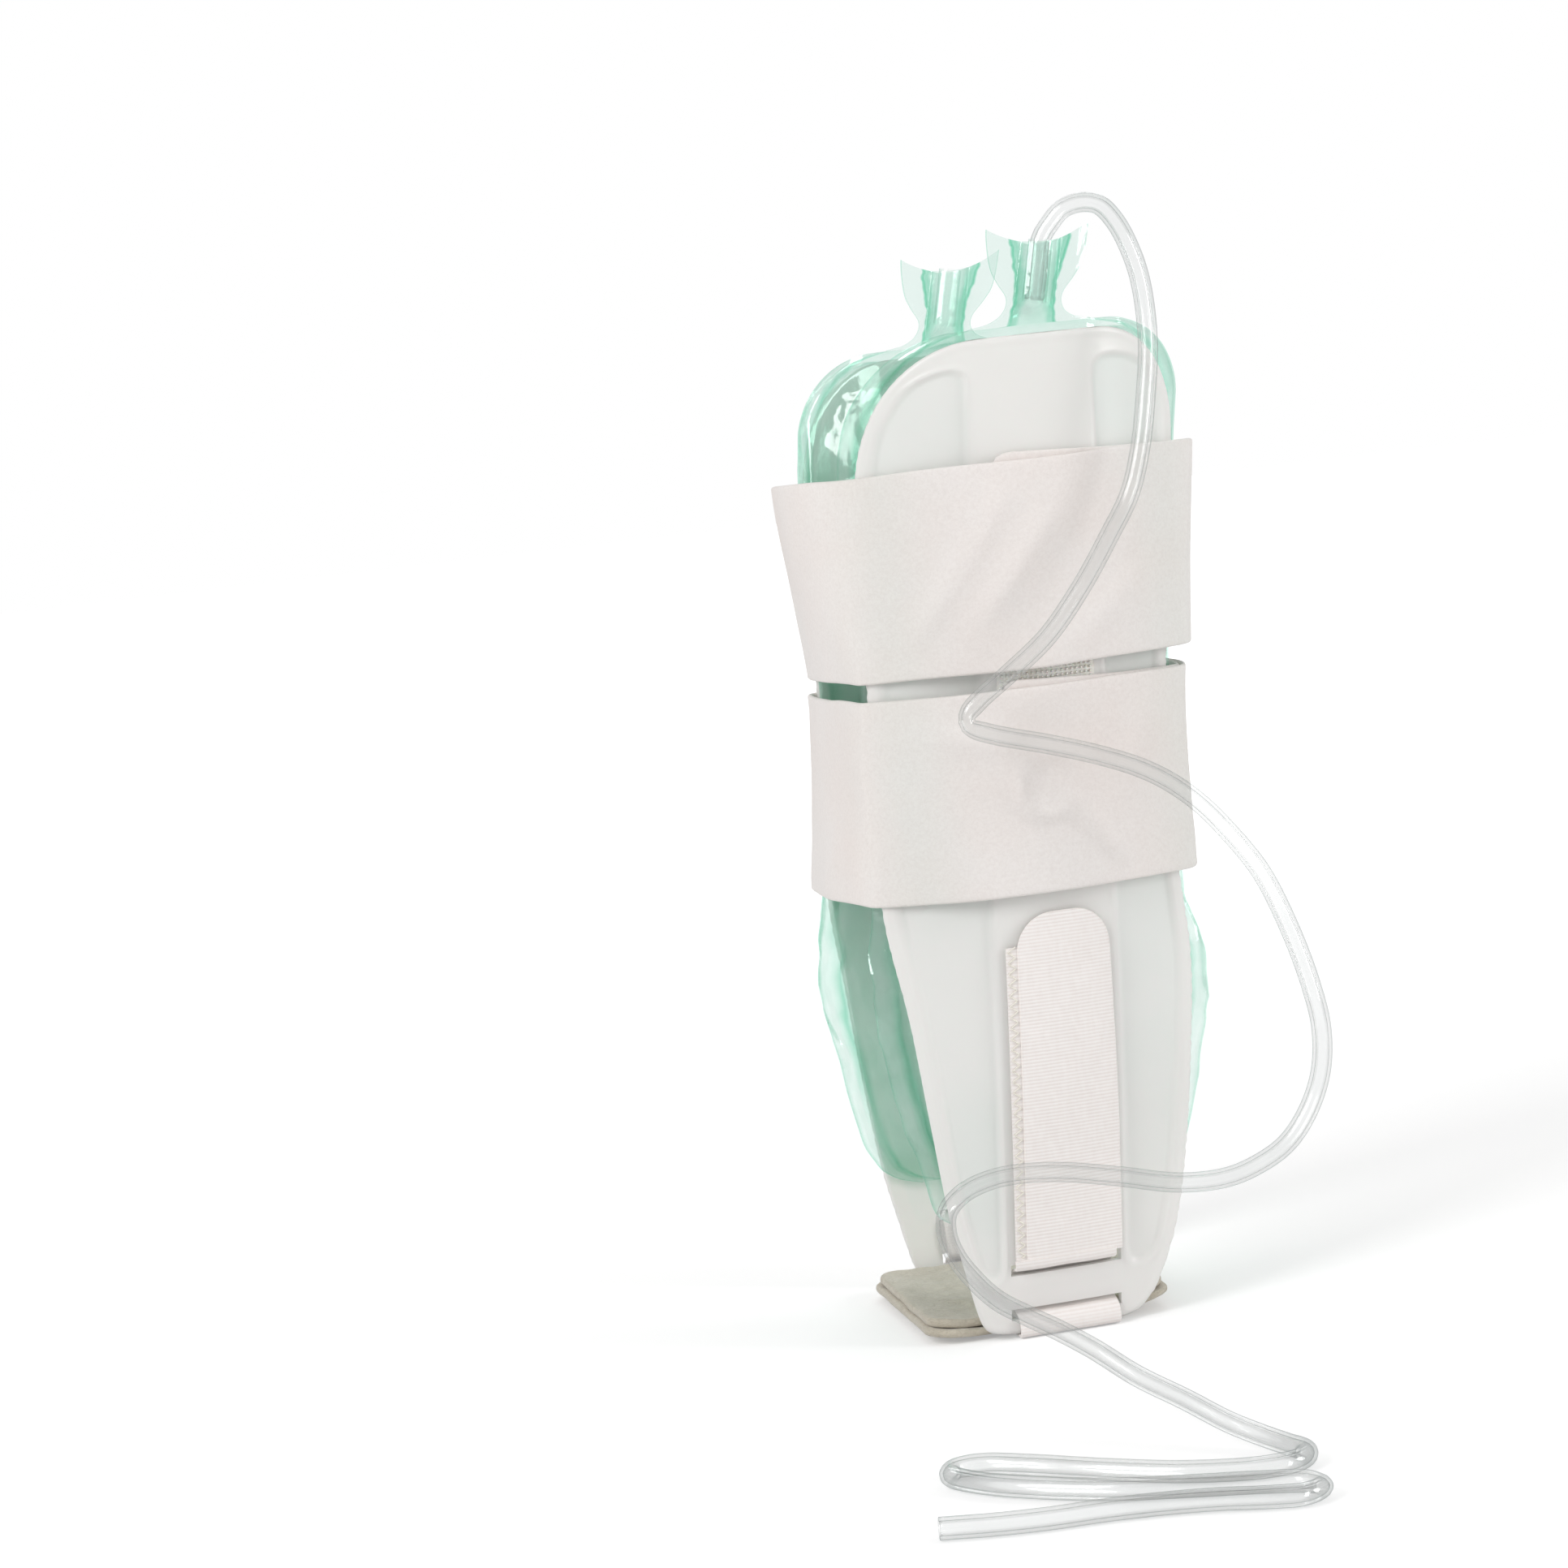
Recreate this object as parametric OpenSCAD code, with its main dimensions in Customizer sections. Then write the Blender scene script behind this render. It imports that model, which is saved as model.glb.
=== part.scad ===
// Inflatable ankle stirrup brace: two moulded shells stand on the ends of a heel strap,
// each carries an air cell of two welded films, two wrap straps close them round the leg,
// and a clear tube feeds the medial cell. +X points to the heel, -X to the toes,
// -Y is the medial side, +Z is up the leg. The origin is under the middle of the heel pad.

/* [Shells] */
// Height of the top edge of each moulded shell
shell_top = 249; // [246:1:252]
// Wall thickness of the moulded shell
shell_t = 2.2; // [2:0.1:2.3]
// How deep the two side panels are sunk below the rim and the centre channel
panel_depth = 1.0; // [0.4:0.1:1.1]
// Half width of the raised centre channel
channel_half = 15.2; // [14.5:0.1:15.5]
// Backward lean of the shells towards the heel, in degrees
lean = 3.3; // [2:0.1:4]
// Length of the two strap slots near the foot of each shell
slot_len = 29; // [28:0.5:31]
// Height of each slot opening
slot_gap = 2.9; // [2.8:0.1:3.1]

/* [Straps] */
// Height at which the lower strap's bottom edge sits
lower_strap_z = 112.5; // [111:0.5:113]
// Height at which the upper strap's bottom edge sits
upper_strap_z = 168; // [167:0.5:169]
// Width of each wrap strap
strap_w = 51; // [48:0.5:51]
// Thickness of the wrap strap laminate
strap_t = 1.5; // [1.2:0.1:1.8]
// Length of the loose end that sticks down over the lateral shell
free_end_len = 44; // [30:1:46]

/* [Heel strap and pad] */
// Length of the heel pad, front to back
pad_len = 65; // [58:1:66]
// Width of the heel pad, side to side
pad_w = 66; // [60:1:66]
// Thickness of the felt heel pad
pad_t = 4.5; // [3:0.1:5]
// Width of the woven heel strap
web_w = 26.4; // [24:0.2:27]
// Thickness of the woven heel strap
web_t = 0.9; // [0.7:0.1:0.9]
// Height reached by the rounded end of the heel strap
tab_top = 107; // [100:1:108]

/* [Air cells] */
// Thickness of the clear film
film_t = 0.5; // [0.3:0.1:0.5]
// How far the inflated inner film stands off the weld plane
cell_bulge = 10; // [6:1:11]
// Bore radius of the valve sleeve welded into the cell's neck
valve_bore_r = 2.5; // [2.5:0.05:2.6]

/* [Inflation tube] */
// Outside radius of the clear tube
tube_r = 2.45; // [2.3:0.05:2.45]
// Bore radius of the clear tube
tube_bore_r = 1.6; // [1.3:0.1:1.7]

/* [Hidden] */
$fn = 48;

shell_col = [0.93, 0.95, 0.93];
film_col = [0.55, 0.85, 0.75, 0.5];
strap_col = [0.95, 0.93, 0.91];
hook_col = [0.96, 0.95, 0.90];
felt_col = [0.93, 0.89, 0.80];
tube_col = [0.90, 0.96, 0.95, 0.5];

lean_x = tan(lean);
k_top = shell_top - 249;

// ---- smooth curve through a table of [height, value] ----
function seg(T, z, i = 0) = (i >= len(T) - 2 || z < T[i + 1][0]) ? i : seg(T, z, i + 1);
function rise(T, i) = let (n = len(T) - 1, a = max(0, i - 1), b = min(n, i + 1))
    (T[b][1] - T[a][1]) / (T[b][0] - T[a][0]);
function curve(T, z) = let (i = seg(T, z), h = T[i + 1][0] - T[i][0],
    t = max(0, min(1, (z - T[i][0]) / h)), a = rise(T, i) * h, b = rise(T, i + 1) * h)
    (2 * t^3 - 3 * t^2 + 1) * T[i][1] + (t^3 - 2 * t^2 + t) * a
    + (3 * t^2 - 2 * t^3) * T[i + 1][1] + (t^3 - t^2) * b;
function ramp(a, b, z) = let (t = max(0, min(1, (z - a) / (b - a)))) t * t * (3 - 2 * t);

// ---- the leg surface that both shells follow ----
// bend radius round the leg, and half the width over the two shells, by height
function bend_r(z) = curve([[0, 150], [40, 140], [70, 110], [107, 75], [150, 60], [200, 60], [290, 60]], z);
function half_y(z) = curve([[0, 37], [25, 40], [75, 44.5], [120, 46.5], [200, 48.5], [260, 49.5], [290, 49.8]], z);
// a point at arc position a, height z, standing off the surface by d, on the medial side
function P(a, z, d = 0) = let (r = bend_r(z), w = a / r * 180 / PI)
    [(r + d) * sin(w) + lean_x * z, -(half_y(z) - r) - (r + d) * cos(w), z];
function other(p) = [p[0], -p[1], p[2]];

// outline of the shell: arc length from the centre line to the front and back edge
function corner(A, r, z0, h, z) = z <= z0 ? A : A - r + r * sqrt(max(0, 1 - ((z - z0) / h)^2));
function front(z) = corner(curve([[1.2, 16.5], [1.9, 19.3], [3, 21], [6, 22.6], [17, 25.6], [33, 29.6],
    [59, 33.9], [84, 38], [113, 44.2], [166, 46.3], [200, 46.8], [260, 47]], z), 34, 214 + k_top, 35, z);
function back(z) = corner(curve([[1.2, 15.5], [1.9, 18.5], [3, 20.5], [7, 24], [12, 26.4], [22, 30], [37, 32.9],
    [67, 36.3], [92, 38.3], [113, 36.8], [157, 36.5], [200, 41], [222, 43.3], [260, 44]], z), 26, 223 + k_top, 26, z);

// ---- closed sheet from a grid of [arc, height, outer stand-off, inner stand-off] ----
module sheet(G) {
    n = len(G); m = len(G[0]); k = n * m;
    pts = concat([for (r = G) for (g = r) P(g[0], g[1], g[2])], [for (r = G) for (g = r) P(g[0], g[1], g[3])]);
    faces = concat(
        [for (i = [0:n - 2]) for (j = [0:m - 2]) let (a = i * m + j, b = a + m)
            each [[a, b, b + 1], [a, b + 1, a + 1], [k + a, k + b + 1, k + b], [k + a, k + a + 1, k + b + 1]]],
        [for (j = [0:m - 2]) let (a = j, b = (n - 1) * m + j)
            each [[a, a + 1, k + a + 1], [a, k + a + 1, k + a], [b, k + b + 1, b + 1], [b, k + b, k + b + 1]]],
        [for (i = [0:n - 2]) let (a = i * m, b = a + m, c = a + m - 1, d = c + m)
            each [[a, k + b, b], [a, k + a, k + b], [c, d, k + d], [c, k + d, k + c]]]);
    polyhedron(pts, faces, convexity = 8);
}
module lateral() mirror([0, 1, 0]) children();

// ---- shells ----
function side_cols(A) = let (c = max(A - 4.4, 0.87 * A), d = min(channel_half + 1.8, 0.82 * A))
    [A, max(A - 2.6, 0.93 * A), c, (2 * c + d) / 3, (c + 2 * d) / 3, d, min(channel_half, 0.74 * A), min(channel_half / 2, 0.37 * A)];
function sunk(z) = ramp(13.5, 18.5, z) * (1 - ramp(237 + k_top, 242 + k_top, z));
shell_sink = [0, 0, 1, 1, 1, 1, 0, 0];
shell_rows = [1.2, 1.9, 3, 6, 10, 14, 18.5, 25, 33, 45, 59, 72, 84, 98, 113, 130, 148, 166, 184, 200, 214, 223,
    230, 236, 240, 243.5, 246.2, 248.2, 249];
module shell_body() {
    G = [for (z0 = shell_rows) let (z = z0 > 200 ? z0 + k_top : z0, F = side_cols(front(z)), B = side_cols(back(z)))
        concat([for (i = [0:7]) [-F[i], z, -panel_depth * shell_sink[i] * sunk(z), -shell_t]],
            [[0, z, 0, -shell_t]],
            [for (i = [7:-1:0]) [B[i], z, -panel_depth * shell_sink[i] * sunk(z), -shell_t]])];
    difference() {
        sheet(G);
        translate([lean_x * 6.1 - slot_len / 2, -50, 6.1 - slot_gap / 2]) cube([slot_len, 30, slot_gap]);
        translate([lean_x * 17.7 - slot_len / 2, -50, 17.7 - slot_gap / 2]) cube([slot_len, 30, slot_gap]);
    }
}
module medial_shell() color(shell_col) shell_body();
module lateral_shell() color(shell_col) lateral() shell_body();

// rectangular patch on the surface
module patch(w, z0, z1, d_out, d_in, rows = 4, cols = 4)
    sheet([for (i = [0:rows]) [for (j = [0:cols]) [-w + 2 * w * j / cols, z0 + (z1 - z0) * i / rows, d_out, d_in]]]);

module channel_hook() color(hook_col) patch(12.5, 113.5, 216, 0.55, 0.1, 9, 4);
module medial_channel_hook() channel_hook();
module lateral_channel_hook() lateral() channel_hook();
module heel_hook() color(hook_col) patch(11, 30, 98, 0.8, 0.1, 7, 4);
module medial_heel_hook() heel_hook();
module lateral_heel_hook() lateral() heel_hook();
module cell_patches(d_out, d_in) { patch(12, 62, 96, d_out, d_in, 4, 4); patch(12, 172, 208, d_out, d_in, 3, 4); }
module medial_cell_hook_patches() color(hook_col) cell_patches(-shell_t - 0.3, -shell_t - 0.85);
module lateral_cell_hook_patches() color(hook_col) lateral() cell_patches(-shell_t - 0.3, -shell_t - 0.85);
module medial_cell_loop_patches() color(strap_col) cell_patches(-shell_t - 0.95, -shell_t - 1.45);
module lateral_cell_loop_patches() color(strap_col) lateral() cell_patches(-shell_t - 0.95, -shell_t - 1.45);

// ---- air cells ----
weld_d = -shell_t - 2.15;
neck_base = [15.8, -45.05, 250];
neck_tilt = 12.66;
function neck_mid(z) = 1.5 + 0.18 * (z - 250);
function neck_half(z) = curve([[251.5, 17.5], [252.3, 12.2], [254.5, 8.6], [258, 7.9], [262, 10.9], [266, 13.5], [270, 14.6], [275, 14.4]], z);
function cell_front(z) = corner(curve([[28, 20], [30, 27], [34, 32.5], [48, 37.4], [60, 41], [79, 46.1], [97, 49],
    [113, 48.6], [160, 50], [219, 54], [260, 54]], z), 38, 218, 33.5, z);
function cell_back(z) = corner(curve([[28, 18], [30, 25], [34, 31], [40, 35.4], [52, 38.5], [70, 42], [88, 45],
    [106, 41.5], [125, 40.5], [160, 42], [200, 47], [230, 51], [260, 51]], z), 32, 230, 21.5, z);
body_share = [1, 0.9, 0.8, 0.62, 0.42, 0.2];
neck_steps = [5.2, 4.4, 3.2, 1.8];
// height of the sleeve bulge at distance q from the neck's centre line
function sleeve_bulge(q, z) = q >= 5.2 ? 0 : 3.9 * sqrt(1 - (q / 5.2)^2) * ramp(251, 256.5, z);
function swell(z) = curve([[28, 0], [36, 0.4], [60, 0.8], [110, 0.9], [200, 1], [232, 0.75], [247, 0.2], [251.5, 0]], z);
function air(f, z) = abs(f) >= 0.88 ? 0 : cell_bulge * swell(z) * pow(1 - (f / 0.88)^2, 0.6);
body_rows = [28, 30, 34, 40, 50, 62, 76, 92, 110, 134, 160, 188, 210, 224, 234, 241, 246, 249.5, 251.2];
neck_rows = [252.3, 254.5, 257, 260, 263, 266.5, 270.8];
function cell_row(z, inner) = let (A = cell_front(z), B = cell_back(z))
    [for (s = [for (f = body_share) -f, 0, for (i = [5:-1:0]) body_share[i]])
        let (a = s < 0 ? A * s : B * s, d = weld_d - (inner ? 0.05 + air(s, z) : -0.05 - film_t)) [a, z, d, d - film_t]];
function neck_row(z, inner) = let (c = neck_mid(z), w = neck_half(z), q = [w, (w + 5.2) / 2, each neck_steps], top = z > 270)
    [for (u = [for (v = q) -v, 0, for (i = [5:-1:0]) q[i]])
        let (zz = top ? z + 4.4 * (u / w)^2 : z, b = sleeve_bulge(abs(u), z),
            d = weld_d + (inner ? -0.05 - b : 0.05 + film_t + b)) [c + u, zz, d, d - film_t]];
module film(inner) sheet(concat([for (z = body_rows) cell_row(z, inner)], [for (z = neck_rows) neck_row(z, inner)]));
module medial_cell_outer_film() color(film_col) film(false);
module lateral_cell_outer_film() color(film_col) lateral() film(false);
module medial_cell_inner_film() color(film_col) film(true);
module lateral_cell_inner_film() color(film_col) lateral() film(true);

module valve() color(film_col) translate(neck_base) rotate([0, neck_tilt, 0]) translate([0, 0, 6.8]) difference() {
    cylinder(r = valve_bore_r + 0.7, h = 15);
    translate([0, 0, -1]) cylinder(r = valve_bore_r, h = 17);
}
module medial_cell_valve() valve();
module lateral_cell_valve() lateral() valve();

// ---- heel pad and heel strap ----
module rounded_plate(l, w, r) {
    square([l - 2 * r, w], center = true);
    square([l, w - 2 * r], center = true);
    for (x = [-1, 1]) for (y = [-1, 1]) translate([x * (l / 2 - r), y * (w / 2 - r)]) circle(r = r);
}
module heel_pad() color(felt_col) translate([-2.5, 0, web_t + 0.3]) linear_extrude(pad_t) rounded_plate(pad_len, pad_w, 7);
module heel_strap() color(strap_col) translate([0.6, 0, web_t / 2]) cube([web_w, 67, web_t], center = true);

// band of even thickness along a chain of [outward, up] points
function norm2(v) = v / norm(v);
function side_of(p, i) = let (n = len(p) - 1, a = p[max(0, i - 1)], b = p[i], c = p[min(n, i + 1)],
    u = norm2(i == 0 ? c - b : b - a), v = norm2(i == n ? b - a : c - b), m = norm2(u + v))
    [-m[1], m[0]] / max(0.5, m * u);
module band(p, t) polygon(concat([for (i = [0:len(p) - 1]) p[i] + side_of(p, i) * t / 2],
    [for (i = [len(p) - 1:-1:0]) p[i] - side_of(p, i) * t / 2]));
// under the shell's foot, in at the lower slot, up behind the bridge and out at the upper slot
loop_path = [[34.2, 0.45], [37.2, 0.45], [38.3, 0.9], [38.9, 2.2], [38.8, 4.3], [37.8, 5.6], [34.8, 6.5],
    [33.9, 7.6], [34.3, 12], [34.6, 15], [35.3, 16.7], [37.2, 17.5], [40.2, 18.0], [41, 18.6]];
module strap_loop() color(strap_col) translate([0.6 - web_w / 2, 0, 0]) rotate([90, 0, 90])
    linear_extrude(web_w) band([for (q = loop_path) [-q[0], q[1]]], web_t);
module medial_strap_loop() strap_loop();
module lateral_strap_loop() lateral() strap_loop();

tab_half = web_w / 2;
function tab_w(z) = z < tab_top - 9 ? tab_half : tab_half - 9 + 9 * sqrt(max(0.02, 1 - ((z - tab_top + 9) / 9)^2));
module heel_tab() color(strap_col) sheet([for (z = [19.7, 34, 48, 62, 76, 90, tab_top - 9, tab_top - 5, tab_top - 2, tab_top])
    [for (j = [-1, -0.66, -0.33, 0, 0.33, 0.66, 1]) [0.6 + tab_w(z) * j, z, 0.95 + web_t, 0.95]]]);
module medial_heel_tab() heel_tab();
module lateral_heel_tab() lateral() heel_tab();

// ---- wrap straps ----
function reach_front(z) = curve([[100, 10], [114, 9], [138, 5.5], [163, 5.5], [168, 6.5], [193, 14.5], [220, 23]], z);
function reach_back(z) = curve([[100, 9], [114, 8.5], [138, 8.8], [163, 9.8], [168, 12.5], [193, 11.5], [220, 11.5]], z);
function bez(a, b, c, d, t) = (1 - t)^3 * a + 3 * (1 - t)^2 * t * b + 3 * (1 - t) * t^2 * c + t^3 * d;
function span(e, dir, reach, t) = bez(e, e + dir * reach, other(e + dir * reach), other(e), t);
function front_span(z, d, t) = let (w = front(z) / bend_r(z) * 180 / PI)
    span(P(-front(z), z, d), [-cos(w), sin(w), 0], reach_front(z) + 0.6 * d, t);
function back_span(z, d, t) = let (w = back(z) / bend_r(z) * 180 / PI)
    span(P(back(z), z, d), [cos(w), sin(w), 0], reach_back(z) + 0.6 * d, t);
// layer stand-offs: first turn, front where it lies on the shell, second turn, loose end
d1 = 1.5; d0 = 1.0; d2 = 3.2; d3 = 4.1;
// each stop on the way round: [part, share along it, stand-off, lift]
strap_stops = concat(
    [for (i = [0:8]) [0, i / 8, d1, 2.6 * (1 - i / 8)]],
    [for (i = [1:9]) [1, i / 10, d1, 0]],
    [for (i = [0:12]) [2, i / 12, d1 - (d1 - d0) * ramp(0.64, 0.95, i / 12), 0]],
    [for (i = [1:9]) [3, i / 10, d0, 0]],
    [for (i = [0:14]) [4, i / 14, d0 + (d2 - d0) * ramp(0.08, 0.36, i / 14), 0]],
    [for (i = [1:9]) [1, i / 10, d2 + (d3 - d2) * i / 10, 0]],
    [[2, 0, d3, 0], [5, 3, d3, 0]]);
function stop_at(s, z, d) = let (A = front(z), B = back(z), k = s[0], t = s[1], e = s[2] + d)
    k == 0 ? P(-12 + (B + 12) * t, z, e) : k == 1 ? back_span(z, e, t)
    : k == 2 ? other(P(B - (A + B) * t, z, e)) : k == 3 ? other(front_span(z, e, t))
    : k == 4 ? P(-A + (A + B) * t, z, e) : other(P(B - t, z, e));
// closed band through a list of stops, three heights across its width
module strap_band(S, z0, w, t) {
    h = [0, 0.5, 1];
    ring = [for (s = S) [for (q = h) stop_at(s, z0 + w * q, -t / 2) + [0, 0, s[3]], for (i = [2:-1:0]) stop_at(s, z0 + w * h[i], t / 2) + [0, 0, s[3]]]];
    n = len(ring);
    faces = concat([for (i = [0:n - 2]) for (j = [0:5]) let (a = i * 6 + j, b = i * 6 + (j + 1) % 6)
            each [[a, b, b + 6], [a, b + 6, a + 6]]],
        [[0, 4, 1], [0, 5, 4], [1, 4, 3], [1, 3, 2]],
        [for (f = [[0, 1, 4], [0, 4, 5], [1, 3, 4], [1, 2, 3]]) [for (v = f) v + (n - 1) * 6]]);
    polyhedron([for (r = ring) for (p = r) p], faces, convexity = 8);
}
module upper_strap() color(strap_col) strap_band(strap_stops, upper_strap_z, strap_w, strap_t);
module lower_strap() color(strap_col) strap_band(strap_stops, lower_strap_z, strap_w, strap_t);
module free_end(z0) color(strap_col)
    strap_band([for (i = [0:6]) [5, 4.2 + free_end_len * i / 6, d3, 0]], z0, strap_w, strap_t);
module upper_strap_free_end() free_end(upper_strap_z);
module lower_strap_free_end() free_end(lower_strap_z);
module hook_tab(z0) color(hook_col)
    strap_band([for (i = [0:6]) [5, 15 + (free_end_len - 13) * i / 6, 2.8, 0]], z0 + 4, strap_w - 8, 0.7);
module upper_strap_hook_tab() hook_tab(upper_strap_z);
module lower_strap_hook_tab() hook_tab(lower_strap_z);

// ---- inflation tube: a chain of straights joined by round bends ----
z_floor = tube_r;
neck_dir = [sin(neck_tilt), 0, cos(neck_tilt)];
tube_path = [
    neck_base + neck_dir * 7.4, neck_base + neck_dir * 29.8,            // up through the valve sleeve
    [36.5, -51.5, 280], [41.5, -55.5, 257], [40.5, -57.5, 240],         // over the top and down
    [36.5, -59, 218], [25.5, -61, 198.5], [7, -62, 176],                // across the upper strap
    [-18.5, -60, 157.5], [4, -63, 150], [27, -66, 142.5],               // fold, then across the lower strap
    [43, -70, 127], [54, -73, 107], [61.5, -77, 78], [56, -78, 53.5],   // loop behind the heel
    [37, -77, 40.5], [8, -72, 44.5], [-18, -71, 50], [-37.5, -74, 46],  // forward across the foot of the shell
    [-39, -83, 34], [-29, -109, 24], [-11, -137, 13.5], [3, -158, 5],   // down to the floor
    [11.5, -169, z_floor], [13, -181, z_floor], [2, -183.5, z_floor],   // first fold of the coil
    [-14, -177, z_floor], [-42, -153, z_floor], [-52, -144.5, z_floor],
    [-61, -146, z_floor], [-60, -156, z_floor], [-47, -169, z_floor],   // second fold
    [-20, -186, z_floor], [2, -194.5, z_floor],
    [10, -199.5, z_floor], [7.5, -207, z_floor], [-5, -203.5, z_floor], // third fold
    [-22, -197, z_floor], [-48, -192.5, z_floor], [-71, -186.5, z_floor]];
function uv(v) = v / norm(v);
// room each bend may take on the straights beside it
function bend_room(i) = let (a = norm(tube_path[i] - tube_path[i - 1]), b = norm(tube_path[i + 1] - tube_path[i]),
    n = len(tube_path) - 1) min(i == 1 ? a - 15 : a / 2, b / 2);
function turn(i) = let (u = uv(tube_path[i] - tube_path[i - 1]), v = uv(tube_path[i + 1] - tube_path[i])) acos(max(-1, min(1, u * v)));
// tangent length of bend i, short on the tight folds
function tangent(i) = (i == 0 || i == len(tube_path) - 1) ? 0 : min(bend_room(i) - 0.02, (turn(i) > 95 ? 5.2 : 60) * tan(turn(i) / 2));
// the centre line, stepped round each bend
function bend_points(i) = let (p = tube_path[i], u = uv(p - tube_path[i - 1]), v = uv(tube_path[i + 1] - p),
    th = turn(i), t = tangent(i), r = t / tan(th / 2), w = uv(v - u * (u * v)), c = p - u * t + w * r, n = ceil(th / 24))
    [for (k = [0:n]) c - w * r * cos(th * k / n) + u * r * sin(th * k / n)];
tube_end = len(tube_path) - 1;
tube_out = uv(tube_path[tube_end] - tube_path[tube_end - 1]);
tube_line = concat([tube_path[0]], [for (i = [1:tube_end - 1]) each bend_points(i)], [tube_path[tube_end]]);
function line_dir(i) = let (n = len(tube_line) - 1)
    i == 0 ? neck_dir : i == n ? tube_out : uv(uv(tube_line[i] - tube_line[i - 1]) + uv(tube_line[i + 1] - tube_line[i]));
line_dirs = [for (i = [0:len(tube_line) - 1]) line_dir(i)];
function across(u, t) = uv(u - t * (u * t));
// a sideways direction carried along the line without twist
line_side = [for (i = 0, u = across([0, 1, 0], line_dirs[0]); i < len(tube_line); i = i + 1, u = i < len(tube_line) ? across(u, line_dirs[i]) : u) u];
sides = 8;
ring_out = tube_r;
ring_in = tube_bore_r;
function ring_at(i, r) = let (u = line_side[i], v = cross(line_dirs[i], u))
    [for (k = [0:sides - 1]) tube_line[i] + r * (u * cos(360 * k / sides) + v * sin(360 * k / sides))];
module flexible_run() {
    n = len(tube_line); h = n * sides;
    pts = concat([for (i = [0:n - 1]) each ring_at(i, ring_out)], [for (i = [0:n - 1]) each ring_at(i, ring_in)]);
    faces = concat(
        [for (i = [0:n - 2]) for (k = [0:sides - 1]) let (a = i * sides + k, b = i * sides + (k + 1) % sides, c = a + sides, d = b + sides)
            each [[a, c, d], [a, d, b], [h + a, h + d, h + c], [h + a, h + b, h + d]]],
        [for (k = [0:sides - 1]) let (a = k, b = (k + 1) % sides, c = (n - 1) * sides + k, d = (n - 1) * sides + (k + 1) % sides)
            each [[a, b, h + b], [a, h + b, h + a], [c, h + d, d], [c, h + c, h + d]]]);
    polyhedron(pts, faces, convexity = 20);
}
module inflation_tube() color(tube_col) flexible_run();

heel_pad();
heel_strap();
medial_strap_loop();
lateral_strap_loop();
medial_heel_tab();
lateral_heel_tab();
medial_shell();
lateral_shell();
medial_channel_hook();
lateral_channel_hook();
medial_heel_hook();
lateral_heel_hook();
medial_cell_hook_patches();
lateral_cell_hook_patches();
medial_cell_loop_patches();
lateral_cell_loop_patches();
medial_cell_outer_film();
lateral_cell_outer_film();
medial_cell_inner_film();
lateral_cell_inner_film();
medial_cell_valve();
lateral_cell_valve();
upper_strap();
upper_strap_free_end();
upper_strap_hook_tab();
lower_strap();
lower_strap_free_end();
lower_strap_hook_tab();
inflation_tube();
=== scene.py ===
import bpy, bmesh, math
import numpy as np
from mathutils import Vector, Matrix


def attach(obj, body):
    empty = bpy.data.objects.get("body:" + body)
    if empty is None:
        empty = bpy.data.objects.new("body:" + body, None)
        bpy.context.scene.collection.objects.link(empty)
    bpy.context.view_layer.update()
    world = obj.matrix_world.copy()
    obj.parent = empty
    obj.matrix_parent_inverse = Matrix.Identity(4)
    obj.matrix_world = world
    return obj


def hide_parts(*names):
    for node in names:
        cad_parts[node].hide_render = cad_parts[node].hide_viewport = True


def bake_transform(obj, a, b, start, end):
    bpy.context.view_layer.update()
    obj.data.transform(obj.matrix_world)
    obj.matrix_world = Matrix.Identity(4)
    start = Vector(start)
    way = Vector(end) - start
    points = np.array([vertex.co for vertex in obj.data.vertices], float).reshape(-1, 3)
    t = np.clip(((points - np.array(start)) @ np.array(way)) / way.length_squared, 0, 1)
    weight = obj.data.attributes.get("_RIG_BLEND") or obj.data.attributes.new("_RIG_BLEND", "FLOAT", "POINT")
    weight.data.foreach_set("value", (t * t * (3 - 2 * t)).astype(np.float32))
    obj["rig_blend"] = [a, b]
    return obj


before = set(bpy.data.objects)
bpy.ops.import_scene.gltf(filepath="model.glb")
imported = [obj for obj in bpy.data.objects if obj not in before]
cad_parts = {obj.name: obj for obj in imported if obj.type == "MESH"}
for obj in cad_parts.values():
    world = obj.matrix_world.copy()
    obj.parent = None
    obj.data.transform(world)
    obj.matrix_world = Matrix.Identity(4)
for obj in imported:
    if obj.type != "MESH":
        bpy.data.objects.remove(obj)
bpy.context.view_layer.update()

S = 0.001
sin, cos, tan, sqrt, exp = np.sin, np.cos, np.tan, np.sqrt, np.exp


# ------------------------------------------------------------------ the same surface as the CAD
def curve(T):
    x = np.array([t[0] for t in T], float)
    y = np.array([t[1] for t in T], float)
    m = np.zeros(len(x))
    m[0] = (y[1] - y[0]) / (x[1] - x[0])
    m[-1] = (y[-1] - y[-2]) / (x[-1] - x[-2])
    m[1:-1] = (y[2:] - y[:-2]) / (x[2:] - x[:-2])

    def f(z):
        z = np.asarray(z, float)
        i = np.clip(np.searchsorted(x, z, side="right") - 1, 0, len(x) - 2)
        h = x[i + 1] - x[i]
        t = np.clip((z - x[i]) / h, 0, 1)
        return ((2 * t**3 - 3 * t**2 + 1) * y[i] + (t**3 - 2 * t**2 + t) * m[i] * h
                + (3 * t**2 - 2 * t**3) * y[i + 1] + (t**3 - t**2) * m[i + 1] * h)
    return f


LEAN = math.tan(math.radians(3.3))
SHELL_T = 2.2
bend_r = curve([[0, 150], [40, 140], [70, 110], [107, 75], [150, 60], [200, 60], [290, 60]])
half_y = curve([[0, 37], [25, 40], [75, 44.5], [120, 46.5], [200, 48.5], [260, 49.5], [290, 49.8]])


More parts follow.
